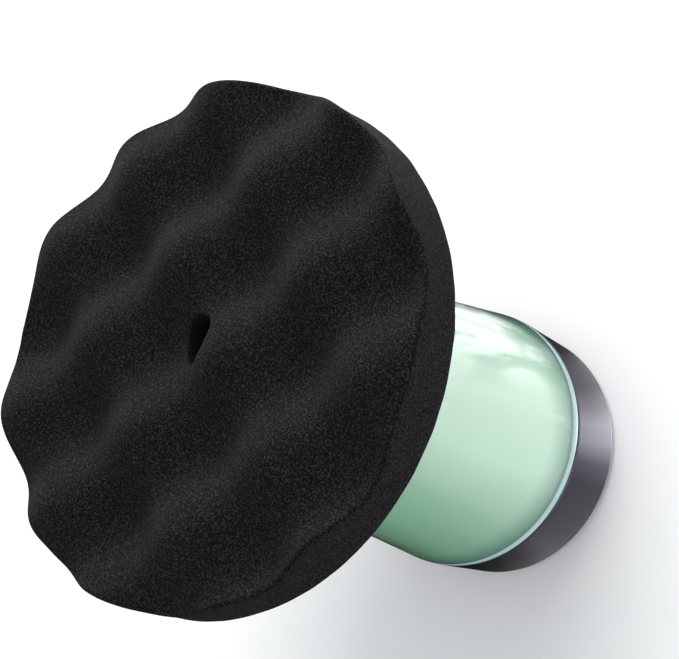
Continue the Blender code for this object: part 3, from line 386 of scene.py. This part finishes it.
def foam_look():
    look = Look("black_foam", (0.0047, 0.0044, 0.0046), 0.95)
    look.shader.inputs["Specular IOR Level"].default_value = 0.08
    look.mottle(160.0, 0.22)
    geometry = look.node("ShaderNodeNewGeometry")
    split = look.node("ShaderNodeSeparateXYZ")
    look.link(geometry.outputs["Normal"], split.inputs["Vector"])
    side = look.spread(look.math("ABSOLUTE", split.outputs["Z"], 0.0), 0.45, 0.1)
    look.tint(side, (0.0130, 0.0124, 0.0185))
    pore = look.cells(2100.0)
    look.tint(look.spread(pore, 0.40, 0.80), (0.0035, 0.0034, 0.004))
    grain = look.noise(1800.0, 2.0, 0.6)
    look.tint(look.math("MULTIPLY", look.spread(grain, 0.52, 0.38), 0.9), (0.002, 0.002, 0.0022))
    look.tint(look.math("MULTIPLY", look.spread(grain, 0.50, 0.64), 0.95), (0.0215, 0.0202, 0.0209))
    # painted glints: rare small bright specks in the colour stand in for the sparkle of the foam's cells
    glint = look.cells(1800.0, "Color")
    pick = look.spread(glint, 0.88, 0.95)
    spot = look.spread(look.cells(1800.0), 0.42, 0.20)
    look.tint(look.math("MULTIPLY", look.math("MULTIPLY", pick, spot), 0.6), (0.060, 0.058, 0.060))
    look.bump(look.noise(900.0, 4.0, 0.7), 0.45 * MM, 0.6)
    look.bump(pore, 0.22 * MM, 0.6)
    return look.item


def fabric_look(name, colour):
    look = Look(name, colour, 0.95)
    look.shader.inputs["Sheen Weight"].default_value = 0.3
    look.mottle(240.0, 0.3)
    look.bump(look.noise(1600.0, 3.0, 0.7), 0.3 * MM, 0.8)
    look.bump(look.cells(900.0), 0.25 * MM, 0.6)
    return look.item


def mint_look():
    """Glossy translucent plastic whose colour carries pale pearly marbling, partly painted reflection
    streaks, and painted shade towards the ring end.
    """
    look = Look("mint_plastic", (0.26, 0.52, 0.345), 0.10)
    look.shader.inputs["Subsurface Weight"].default_value = 0.25
    look.shader.inputs["Subsurface Radius"].default_value = (0.35, 0.8, 0.5)
    look.shader.inputs["Subsurface Scale"].default_value = 0.004
    look.shader.inputs["Coat Weight"].default_value = 1.0
    look.shader.inputs["Coat IOR"].default_value = 2.0
    look.shader.inputs["Coat Roughness"].default_value = 0.04
    look.mottle(22.0, 0.07)
    # partly pearly marbling, partly painted reflection: pale streaks in the colour stand in for white
    # reflections on the shell
    pearly_and_painted_reflection = look.noise(46.0, 5.0, 0.62, 2.6, stretch=(1.0, 1.0, 0.45))
    veil = look.noise(17.0, 2.0)
    share = look.math("MULTIPLY", look.spread(pearly_and_painted_reflection, 0.56, 0.70), look.spread(veil, 0.45, 0.62))
    look.tint(look.math("MULTIPLY", share, 0.75), (0.86, 0.93, 0.89))
    # painted shade: the shell turns a darker green towards the ring end
    edge = look.height_band(43.0 * MM, 30.0 * MM)
    edge = look.math("POWER", edge, 1.2)
    look.tint(look.math("MULTIPLY", edge, 0.95), (0.09, 0.21, 0.18))
    look.roughen(60.0, 0.06, 0.16)
    look.bump(look.noise(26.0, 3.0, 0.5, 1.0), 0.30 * MM, 0.025)
    return look.item


def pale_look():
    look = Look("pale_plastic", (0.50, 0.66, 0.68), 0.08)
    look.shader.inputs["Coat Weight"].default_value = 0.5
    look.shader.inputs["Coat Roughness"].default_value = 0.04
    look.mottle(90.0, 0.05)
    look.roughen(120.0, 0.06, 0.14)
    look.bump(look.noise(400.0, 3.0), 0.05 * MM, 0.2)
    return look.item


def gunmetal_look():
    look = Look("gunmetal", (0.077, 0.074, 0.099), 0.18, 1.0)
    look.mottle(30.0, 0.04)
    look.roughen(220.0, 0.15, 0.21, stretch=(1.0, 1.0, 5.0))
    look.bump(look.noise(900.0, 4.0, 0.6, stretch=(1.0, 1.0, 8.0)), 0.01 * MM, 0.2)
    return look.item


def metal_look(name, colour, rough, stretch=(1.0, 1.0, 8.0)):
    look = Look(name, colour, rough, 1.0)
    look.mottle(120.0, 0.12)
    look.roughen(300.0, rough * 0.75, rough * 1.35, stretch=stretch)
    look.bump(look.noise(1400.0, 4.0, 0.6, stretch=stretch), 0.03 * MM, 0.4)
    return look.item


def plastic_look(name, colour, rough, scale=1100.0):
    look = Look(name, colour, rough)
    look.mottle(80.0, 0.12)
    look.roughen(200.0, rough * 0.85, min(1.0, rough * 1.15))
    look.wear(tuple(min(1.0, c * 2.2 + 0.02) for c in colour), 0.4)
    look.bump(look.noise(scale, 3.0), 0.06 * MM, 0.35)
    return look.item


def board_look():
    look = Look("circuit_board", (0.02, 0.16, 0.07), 0.4)
    look.mottle(300.0, 0.25)
    look.tint(look.spread(look.cells(420.0), 0.14, 0.08), (0.6, 0.45, 0.2))
    look.bump(look.cells(260.0), 0.1 * MM, 0.4)
    return look.item


def copper_look():
    look = Look("copper", (0.75, 0.36, 0.2), 0.3, 1.0)
    look.mottle(200.0, 0.15)
    wave = look.node("ShaderNodeTexWave", wave_type="BANDS", bands_direction="Z")
    wave.inputs["Scale"].default_value = 260.0
    look.link(look.coords, wave.inputs["Vector"])
    look.bump(wave.outputs["Fac"], 0.3 * MM, 0.6)
    return look.item


def all_looks():
    return {
        "black_foam": foam_look(),
        "loop_fabric": fabric_look("loop_fabric", (0.03, 0.03, 0.033)),
        "hook_nylon": plastic_look("hook_nylon", (0.02, 0.02, 0.022), 0.6),
        "plate_urethane": plastic_look("plate_urethane", (0.025, 0.025, 0.028), 0.55, 700.0),
        "steel": metal_look("steel", (0.56, 0.57, 0.58), 0.3),
        "bearing_steel": metal_look("bearing_steel", (0.62, 0.63, 0.65), 0.22),
        "gear_steel": metal_look("gear_steel", (0.45, 0.46, 0.48), 0.35),
        "cast_aluminium": metal_look("cast_aluminium", (0.6, 0.61, 0.62), 0.48, (1.0, 1.0, 1.0)),
        "magnet": metal_look("magnet", (0.2, 0.2, 0.21), 0.35, (1.0, 1.0, 1.0)),
        "copper": copper_look(),
        "mint_plastic": mint_look(),
        "pale_plastic": pale_look(),
        "gunmetal": gunmetal_look(),
        "dark_plastic": plastic_look("dark_plastic", (0.03, 0.03, 0.035), 0.45),
        "grey_plastic": plastic_look("grey_plastic", (0.3, 0.31, 0.32), 0.5),
        "rubber": plastic_look("rubber", (0.02, 0.02, 0.02), 0.8, 600.0),
        "cell_wrap": plastic_look("cell_wrap", (0.05, 0.2, 0.42), 0.35, 300.0),
        "circuit_board": board_look(),
    }


def dress_nodes(looks):
    """Each carried-over node gets the full material of its slot."""
    for row in frame["record"]["subparts"]:
        node = NODES[row["node"]]
        node.data.materials.clear()
        node.data.materials.append(looks[row["material_slot"]])


# ---- foam pad

def waffle(x, y):
    along = x * cos(WAFFLE_TURN) + y * sin(WAFFLE_TURN)
    across = y * cos(WAFFLE_TURN) - x * sin(WAFFLE_TURN)
    wave = np.cos(2 * pi * along / WAFFLE_PITCH + WAFFLE_PHASE_ALONG)
    wave = wave + np.cos(2 * pi * across / WAFFLE_PITCH + WAFFLE_PHASE_ACROSS)
    return 0.5 + wave / 4


def face_z(x, y):
    return PAD_BACK_Z + PAD_VALLEY + (PAD_CREST - PAD_VALLEY) * waffle(x, y)


def hole_radius(turns):
    """Radius of a teardrop hole, its long way along X and its blunt end at +X."""
    t = np.linspace(0, 2 * pi, 721)[:-1]
    x = HOLE_LENGTH / 2 * np.cos(t)
    y = HOLE_WIDTH / 2 * np.sin(t) * (0.93 + 0.10 * np.cos(t))
    angle = np.mod(np.arctan2(y, x), 2 * pi)
    order = np.argsort(angle)
    return np.interp(turns, angle[order], np.hypot(x, y)[order], period=2 * pi)


def uneven(points, scale, amount):
    """Lifts points along Z by smooth noise."""
    flat = points.reshape(-1, 3)
    lift = [noise.noise(Vector(p) * scale) for p in flat]
    flat[:, 2] += np.array(lift) * amount


def foam_pad(look):
    turns = np.arange(PAD_STEPS) * 2 * pi / PAD_STEPS
    way_x = np.cos(turns)
    way_y = np.sin(turns)
    inner = hole_radius(turns)
    ragged = np.array([noise.noise(Vector((a * 12, b * 12, 3.0))) for a, b in zip(way_x, way_y)])
    outer = PAD_R - RIM_INSET + RIM_RAG * ragged
    columns = []

    def add(radius, height):
        columns.append(np.stack([way_x * radius, way_y * radius, height], -1))

    def top_at(radius):
        return face_z(way_x * radius, way_y * radius)

    back = np.full(PAD_STEPS, PAD_BACK_Z)
    for depth in (0.0, 0.35, 0.7):
        add(inner * 0.92, back + (top_at(inner) - LIP_R - back) * depth)
    for step in range(5):
        turn = step / 4 * pi / 2
        radius = inner * 0.92 + LIP_R * (1 - cos(turn))
        add(radius, top_at(radius) - LIP_R * (1 - sin(turn)))
    start = inner * 0.92 + LIP_R
    end = outer - RIM_ROUND
    for ring in range(1, PAD_RINGS):
        radius = start + (end - start) * ring / PAD_RINGS
        add(radius, top_at(radius))
    first_face = 8
    last_face = len(columns)
    for step in range(6):
        turn = step / 5 * pi / 2
        radius = end + RIM_ROUND * sin(turn)
        add(radius, top_at(end) - RIM_ROUND * (1 - cos(turn)))
    edge = columns[-1][:, 2]
    for share in (0.25, 0.5, 0.75, 0.93):
        add(outer - SIDE_SAG * sin(pi * share), edge + (back - edge) * share)
    add(outer - BACK_INSET, back)
    points = np.stack(columns, 1)
    for scale, amount in LUMPS:
        uneven(points[:, first_face:last_face], scale, amount)
    mesh = grid_mesh("foam_pad_soft", points)
    pad = finished("foam_pad_soft", mesh, look, "pad", 60.0, ("foam_pad",))
    return pad


# ---- backing layers

def pad_layers(looks):
    low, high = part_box("pad_loop_backing")
    r = high.x - LAYER_INSET
    across = r - BACKING_BORE_R
    columns = [(BACKING_BORE_R, high.z), (r, high.z), (r, low.z + LOOP_EDGE)]
    columns += [(r - across * k / LOOP_RINGS, low.z + LOOP_DEPTH) for k in range(LOOP_RINGS + 1)]
    points = swept(np.array(columns), LOOP_STEPS)
    uneven(points[:, 3:], LOOP_SCALE, LOOP_LIFT)
    mesh = grid_mesh("pad_loops", points)
    backing = finished(
        "pad_loops", mesh, looks["loop_fabric"], "pad", 60.0, ("pad_loop_backing",),
    )
    hook_face(looks)


def studs(name, spots, low, high):
    """One mushroom hook at each spot, all in one mesh."""
    sides = 6
    line = ((0.30, low), (0.26, high - HOOK_HEAD), (0.60, high - HOOK_HEAD), (0.30, high))
    turns = np.arange(sides) * 2 * pi / sides
    one = [(r * MM * cos(t), r * MM * sin(t), z) for r, z in line for t in turns]
    faces = [tuple(range(sides))[::-1], tuple(range(3 * sides, 4 * sides))]
    for row in range(3):
        for side in range(sides):
            after = (side + 1) % sides
            a = row * sides
            faces.append((a + side, a + after, a + sides + after, a + sides + side))
    points = (np.array(spots)[:, None] + np.array(one)[None]).reshape(-1, 3)
    every = [tuple(v + k * len(one) for v in face) for k in range(len(spots)) for face in faces]
    mesh = bpy.data.meshes.new(name)
    mesh.from_pydata(points.tolist(), [], every)
    return mesh


def hook_face(looks):
    """The hook tape: a thin disc with rows of small mushroom hooks."""
    low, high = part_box("hook_layer")
    radius = high.x - HOOK_INSET
    base = low.z + TAPE_THICKNESS
    edge = EDGE_FINE
    corners = [
        (HOOK_BORE_R, base, edge), (radius, base, edge), (radius, low.z, edge), (HOOK_BORE_R, low.z, edge),
    ]
    count = int(radius / HOOK_PITCH)
    spots = []
    for i in range(-count, count + 1):
        for j in range(-count, count + 1):
            x = (i + 0.5 * (j % 2)) * HOOK_PITCH
            y = j * HOOK_PITCH * 0.866
            if HOOK_INNER_R < (x * x + y * y) ** 0.5 < radius - HOOK_MARGIN:
                spots.append((x, y, 0.0))
    mesh = studs("hook_studs", spots, base + HOOK_SINK, high.z)
    nylon = looks["hook_nylon"]
    finished("hook_studs", mesh, nylon, "spindle_and_plate", 30.0)
    turned("hook_tape", corners, nylon, "spindle_and_plate", ("hook_layer",))


# ---- plate, body and cap

def backing_plate(look):
    low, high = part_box("backing_plate")
    rim = high.x - PLATE_INSET
    top = high.z
    bore = PLATE_BORE_R
    corners = [
        (rim, top, EDGE_ROUND), (rim, top - PLATE_RIM, 1.4 * MM),
        (rim - PLATE_UNDERSIDE_STEP, top - PLATE_UNDERSIDE, 1.5 * MM),
        (PLATE_SHOULDER_R, top - PLATE_SHOULDER, 2.0 * MM), (PLATE_WAIST_R, low.z + PLATE_WAIST, 3 * MM),
        (PLATE_HUB_R, low.z, 0.8 * MM), (bore, low.z, EDGE_BLUNT), (bore, top - PLATE_SKIN, 0),
        (PLATE_HOLE_R, top - PLATE_SKIN, 0), (PLATE_HOLE_R, top, EDGE_SOFT),
    ]
    turned("plate_moulding", corners, look, "spindle_and_plate", ("backing_plate",))


def body_shell(look):
    low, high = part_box("body_shell")
    rear_r = high.x
    wall = SHELL_WALL
    front_r = rear_r - (high.z - low.z) * SHELL_TAPER
    mouth = MOUTH_R
    corners = [
        (mouth, high.z, EDGE_EASED), (front_r, high.z, SHELL_ROUND), (rear_r, low.z, 0.35 * MM),
        (rear_r - wall, low.z, EDGE_SOFT), (front_r - wall, high.z - wall, EDGE_ROUND),
        (mouth, high.z - wall, EDGE_EASED),
    ]
    line = rounded(corners)
    rows = []
    for a, b in zip(line, np.roll(line, -1, 0)):
        parts = max(1, int(np.linalg.norm(b - a) / SHELL_SEGMENT))
        rows += [a + (b - a) * k / parts for k in range(parts)]
    line = np.array(rows)
    return finished(
        "mint_shell", grid_mesh("mint_shell", swept(line)), look,
        "housing", 50.0, ("body_shell",),
    )


def trim_ring(look):
    low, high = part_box("trim_ring")
    r = high.x
    inner = r - RING_WALL
    corners = [
        (r - RING_DRAFT, high.z, RING_ROUND), (r, (low.z + high.z) / 2, 1.0 * MM),
        (r - RING_DRAFT, low.z, RING_ROUND), (inner, low.z, EDGE_SOFT), (inner, high.z, EDGE_SOFT),
    ]
    turned("pale_ring", corners, look, "housing", stands_for=("trim_ring",))


def cut(mesh, tools):
    """The mesh with each tool mesh taken out of it."""
    for tool in tools:
        target = bpy.data.objects.new("cut_target", mesh)
        cutter = bpy.data.objects.new("cut_tool", tool)
        bpy.context.scene.collection.objects.link(target)
        bpy.context.scene.collection.objects.link(cutter)
        step = target.modifiers.new("cut", "BOOLEAN")
        step.operation = "DIFFERENCE"
        step.solver = "EXACT"
        step.object = cutter
        depsgraph = bpy.context.evaluated_depsgraph_get()
        mesh = bpy.data.meshes.new_from_object(target.evaluated_get(depsgraph))
        bpy.data.objects.remove(target)
        bpy.data.objects.remove(cutter)
    return mesh


def cylinder_tool(radius, length, place):
    work = bmesh.new()
    bmesh.ops.create_cone(
        work, segments=64, cap_ends=True, radius1=radius, radius2=radius, depth=length, matrix=place,
    )
    mesh = bpy.data.meshes.new("tool")
    work.to_mesh(mesh)
    work.free()
    return mesh


def box_tool(low, high, turn):
    work = bmesh.new()
    middle = (Vector(low) + Vector(high)) / 2
    size = Vector(high) - Vector(low)
    place = turn @ Matrix.Translation(middle) @ Matrix.Diagonal((*size, 1.0))
    bmesh.ops.create_cube(work, size=1.0, matrix=place)
    mesh = bpy.data.meshes.new("tool")
    work.to_mesh(mesh)
    work.free()
    return mesh


def cap_tools():
    """The button hole, the port's pocket and socket hole, the pin's bore and the screw holes."""
    turn = Matrix.Rotation(PORT_TURN, 4, "Z")
    lie = Matrix.Rotation(pi / 2, 4, "X")
    side = Matrix.Translation((0, BUTTON_TOOL_Y, BUTTON_Z)) @ lie
    tools = [cylinder_tool(BUTTON_BORE_R, BUTTON_TOOL_LENGTH, side)]
    for low, high in (PORT_POCKET, SOCKET_HOLE):
        tools.append(box_tool(low, high, turn))
    pin = turn @ Matrix.Translation(PIN_AT)
    tools.append(cylinder_tool(PIN_BORE_R, PIN_BORE_LENGTH, pin))
    for number in range(3):
        around = -pi / 2 + 2 * pi * number / 3
        spot = (SCREW_PCD_R * cos(around), SCREW_PCD_R * sin(around), SCREW_HOLE_Z)
        tools.append(cylinder_tool(SCREW_HOLE_R, SCREW_HOLE_LENGTH, Matrix.Translation(spot)))
    return tools


def rear_cap(look):
    """The cup: a bright edge at each end, the foot's groove and a recessed face."""
    bore = CAP_BORE_R
    corners = [
        (AXIS_R, CAP_FLOOR_Z, 0), (bore, CAP_FLOOR_Z, EDGE_BLUNT), (bore, CAP_TOP_Z, EDGE_SOFT),
        (CAP_TOP_R, CAP_TOP_Z, 0.6 * MM), (CAP_LOW_R, CAP_LOW_Z, EDGE_BLUNT),
        (CAP_BASE_R, CAP_BASE_Z, 0.7 * MM),
        (GROOVE_OUTER_R, CAP_BASE_Z, 0.15 * MM), (GROOVE_OUTER_R, GROOVE_Z, EDGE_FINE),
        (GROOVE_INNER_R, GROOVE_Z, EDGE_FINE), (GROOVE_INNER_R, CAP_BASE_Z, EDGE_SOFT),
        (RECESS_EDGE_R, CAP_BASE_Z, EDGE_SOFT), (RECESS_R, RECESS_Z, EDGE_EASED), (AXIS_R, RECESS_Z, 0),
    ]
    mesh = grid_mesh("metal_cap", swept(rounded(corners)))
    work = bmesh.new()
    work.from_mesh(mesh)
    bmesh.ops.remove_doubles(work, verts=work.verts, dist=CAP_WELD)
    bmesh.ops.recalc_face_normals(work, faces=work.faces)
    work.to_mesh(mesh)
    work.free()
    mesh = cut(mesh, cap_tools())
    return finished("metal_cap", mesh, look, "housing", 32.0, ("rear_cap",))


def nose_and_foot(looks):
    low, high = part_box("nose_collar")
    inner = NOSE_BORE_R
    corners = [
        (NOSE_R, high.z, 1.2 * MM), (NOSE_LIP_R, low.z + NOSE_LIP_TOP, EDGE_ROUND),
        (NOSE_LIP_R, low.z + NOSE_LIP_LOW, EDGE_SOFT), (NOSE_SPIGOT_R, low.z + NOSE_LIP_LOW, EDGE_FINE),
        (NOSE_SPIGOT_R, low.z + NOSE_SEAT, EDGE_SOFT), (inner, low.z + NOSE_SEAT, EDGE_SOFT),
        (inner, high.z, EDGE_ROUND),
    ]
    turned("nose_moulding", corners, looks["dark_plastic"], "housing", ("nose_collar",))
    corners = [
        (FOOT_OUTER_R, 0.0, EDGE_ROUND), (FOOT_OUTER_R, FOOT_TOP_Z, EDGE_SOFT),
        (FOOT_INNER_R, FOOT_TOP_Z, EDGE_SOFT), (FOOT_INNER_R, 0.0, EDGE_ROUND),
        (TREAD_R[0], 0.0, EDGE_SOFT), (TREAD_R[1], TREAD_Z, EDGE_FINE),
        (TREAD_R[2], TREAD_Z, EDGE_FINE), (TREAD_R[3], 0.0, EDGE_SOFT),
    ]
    turned("foot_moulding", corners, looks["rubber"], "housing", stands_for=("foot_ring",))


def button(look):
    """A dished cap with a ring round its face, laid along +Y."""
    low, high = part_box("power_button")
    face = high.y
    corners = [
        (AXIS_R, face - BUTTON_DISH[0], 0), (BUTTON_DISH_R[0], face - BUTTON_DISH[1], EDGE_EASED),
        (BUTTON_DISH_R[1], face - BUTTON_DISH[2], EDGE_ROUND), (BUTTON_RING_R, face, EDGE_SOFT),
        (BUTTON_R, face - BUTTON_EDGE, EDGE_ROUND), (BUTTON_R, BUTTON_SIDE_Y, 0),
        (BUTTON_FLANGE_R, BUTTON_FLANGE_Y[0], EDGE_SOFT), (BUTTON_FLANGE_R, BUTTON_FLANGE_Y[1], EDGE_SOFT),
        (BUTTON_STEM_R, BUTTON_FLANGE_Y[1], 0), (BUTTON_STEM_R, low.y, EDGE_SOFT), (AXIS_R, low.y, 0),
    ]
    points = swept(rounded(corners), BUTTON_STEPS)[..., [0, 2, 1]]
    points[..., 2] += BUTTON_Z
    mesh = grid_mesh("button_cap", points)
    finished("button_cap", mesh, look, "button", 32.0, ("power_button",))


# ---- camera, light and floor

def camera():
    data = bpy.data.cameras.new("camera")
    data.lens = LENS_MM
    data.sensor_width = SENSOR_MM
    data.clip_start = 0.01
    data.clip_end = 50.0
    item = bpy.data.objects.new("camera", data)
    turn = Matrix((CAMERA_RIGHT, CAMERA_UP, CAMERA_BACK)).transposed()
    item.matrix_world = Matrix.Translation(CAMERA_AT) @ turn.to_4x4()
    bpy.context.scene.collection.objects.link(item)
    bpy.context.scene.camera = item


def area_light(name, at, target, size, watts):
    data = bpy.data.lights.new(name, "AREA")
    data.energy = watts
    data.size = size
    item = bpy.data.objects.new(name, data)
    item.location = at
    item.rotation_euler = (Vector(target) - Vector(at)).to_track_quat("-Z", "Y").to_euler()
    bpy.context.scene.collection.objects.link(item)
    return item


def studio():
    world = bpy.data.worlds.new("studio")
    world.use_nodes = True
    sky = world.node_tree.nodes["Background"]
    sky.inputs["Color"].default_value = (0.95, 0.97, 1.0, 1.0)
    sky.inputs["Strength"].default_value = 0.76
    bpy.context.scene.world = world
    bpy.context.scene.view_settings.view_transform = "Standard"
    area_light("key", (0.55, 0.1, 1.25), (-0.02, 0, 0.1), 0.7, 10.5)
    area_light("front", (-0.2, -1.2, 0.7), (0, 0, 0.08), 0.8, 2.5)
    rake = area_light("rake", (0.85, 0.95, 0.5), (0, 0, 0.12), 0.5, 27.5)
    lit = bpy.data.collections.new("raked")
    for name in ("foam_pad_soft", "pad_loops"):
        lit.objects.link(bpy.data.objects[name])
    rake.light_linking.receiver_collection = lit
    reflection_card()


FLOOR_SIDE = 3.0
FLOOR_CELLS = 24
FLOOR_Z = -0.1 * MM
CARD_Z = 0.2 * MM
CARD_RADIUS = 0.42
CARD_SPLIT = (60.0 * MM, 66.0 * MM)
CARD_NEAR = (63.0 * MM, 84.0 * MM)
CARD_STRENGTH = 6.0
STREAK_TURN = (radians(-48.0), radians(-8.0))
BODY_GLOW = (
    (-180, 0.0), (-160, 0.02), (-137, 0.07), (-115, 0.20), (-90, 0.33), (-60, 0.37), (-40, 0.41),
    (-20, 0.47), (0, 0.48), (14, 0.42), (28, 0.28), (50, 0.07), (75, 0.04), (95, 0.16), (118, 0.03),
    (180, 0.0),
)
CAP_GLOW = (
    (-180, 0.002), (-168, 0.004), (-155, 0.012), (-142, 0.036), (-128, 0.09), (-100, 0.10),
    (-88, 0.095), (-77, 0.17),
    (-66, 0.46), (-57, 0.50), (-47, 0.27), (-36, 0.12), (-22, 0.07), (-10, 0.015), (6, 0.004), (30, 0.006),
    (55, 0.15), (78, 0.45), (90, 0.5), (104, 0.2), (128, 0.12), (150, 0.01), (180, 0.003),
)


def glow_ramp(look, turn, stops):
    """A grey ramp over the way round, from degrees and levels."""
    made = look.node("ShaderNodeValToRGB")
    ramp = made.color_ramp
    for place, level in stops[1:-1]:
        item = ramp.elements.new((place + 180) / 360)
        item.color = (level, level, level, 1.0)
    ends = (ramp.elements[0], ramp.elements[len(ramp.elements) - 1])
    for item, (place, level) in zip(ends, (stops[0], stops[-1])):
        item.position = (place + 180) / 360
        item.color = (level, level, level, 1.0)
    look.link(turn, made.inputs["Fac"])
    return made.outputs["Color"]


def reflection_card():
    """A lit card on the floor that only reflections show, its levels set by the way round the tool."""
    look = Look("reflection_card", (0.5, 0.5, 0.5), 1.0)
    split = look.node("ShaderNodeSeparateXYZ")
    look.link(look.coords, split.inputs["Vector"])
    turn = look.math("ARCTAN2", split.outputs["Y"], split.outputs["X"])
    crumple = look.math("SUBTRACT", look.noise(9.0, 2.0, 0.5, 0.8), 0.5)
    crumpled = look.math("ADD", turn, look.math("MULTIPLY", crumple, 0.45))
    body = glow_ramp(look, look.spread(crumpled, -pi, pi), BODY_GLOW)
    cap = glow_ramp(look, look.spread(turn, -pi, pi), CAP_GLOW)
    square_x = look.math("POWER", split.outputs["X"], 2.0)
    square_y = look.math("POWER", split.outputs["Y"], 2.0)
    square = look.math("ADD", square_x, square_y)
    away = look.math("SQRT", square, 0.0)
    far = look.spread(away, *CARD_SPLIT)
    dips = look.spread(look.noise(15.0, 4.0, 0.6, 1.8), 0.56, 0.40, 0.0, 0.75)
    dips = look.math("MULTIPLY", dips, look.spread(turn, *STREAK_TURN))
    veil = look.math("MULTIPLY", look.spread(away, *CARD_NEAR), look.math("SUBTRACT", 1.0, dips))
    dark = look.node("ShaderNodeMix", data_type="RGBA")
    look.link(veil, dark.inputs["Factor"])
    dark.inputs["A"].default_value = (0.0, 0.0, 0.0, 1.0)
    look.link(body, dark.inputs["B"])
    body = dark.outputs["Result"]
    mixed = look.node("ShaderNodeMix", data_type="RGBA")
    look.link(far, mixed.inputs["Factor"])
    look.link(cap, mixed.inputs["A"])
    look.link(body, mixed.inputs["B"])
    glow = look.node("ShaderNodeEmission")
    glow.inputs["Strength"].default_value = CARD_STRENGTH
    look.link(mixed.outputs["Result"], glow.inputs["Color"])
    output = next(n for n in look.tree.nodes if n.type == "OUTPUT_MATERIAL")
    look.link(glow.outputs["Emission"], output.inputs["Surface"])
    look.tree.nodes.remove(look.shader)
    line = np.linspace(-CARD_RADIUS, CARD_RADIUS, 9)
    xs, ys = np.meshgrid(line, line, indexing="ij")
    mesh = grid_mesh("reflection_card", np.stack([xs, ys, np.full_like(xs, CARD_Z)], -1), False, False)
    mesh.materials.append(look.item)
    item = bpy.data.objects.new("reflection_card", mesh)
    item.visible_camera = False
    item.visible_diffuse = False
    item.visible_transmission = False
    item.visible_shadow = False
    bpy.context.scene.collection.objects.link(item)


def floor():
    line = np.linspace(-FLOOR_SIDE, FLOOR_SIDE, FLOOR_CELLS + 1)
    xs, ys = np.meshgrid(line, line, indexing="ij")
    points = np.stack([xs, ys, np.full_like(xs, FLOOR_Z)], -1)
    mesh = grid_mesh("floor", points, False, False)
    look = Look("floor", (0.95, 0.95, 0.95), 1.0)
    look.shader.inputs["Specular IOR Level"].default_value = 0.0
    look.mottle(6.0, 0.01)
    mesh.materials.append(look.item)
    item = bpy.data.objects.new("floor", mesh)
    bpy.context.scene.collection.objects.link(item)


LOOKS = all_looks()
dress_nodes(LOOKS)
foam_pad(LOOKS["black_foam"])
pad_layers(LOOKS)
backing_plate(LOOKS["plate_urethane"])
body_shell(LOOKS["mint_plastic"])
trim_ring(LOOKS["pale_plastic"])
rear_cap(LOOKS["gunmetal"])
nose_and_foot(LOOKS)
button(LOOKS["dark_plastic"])
camera()
studio()
floor()
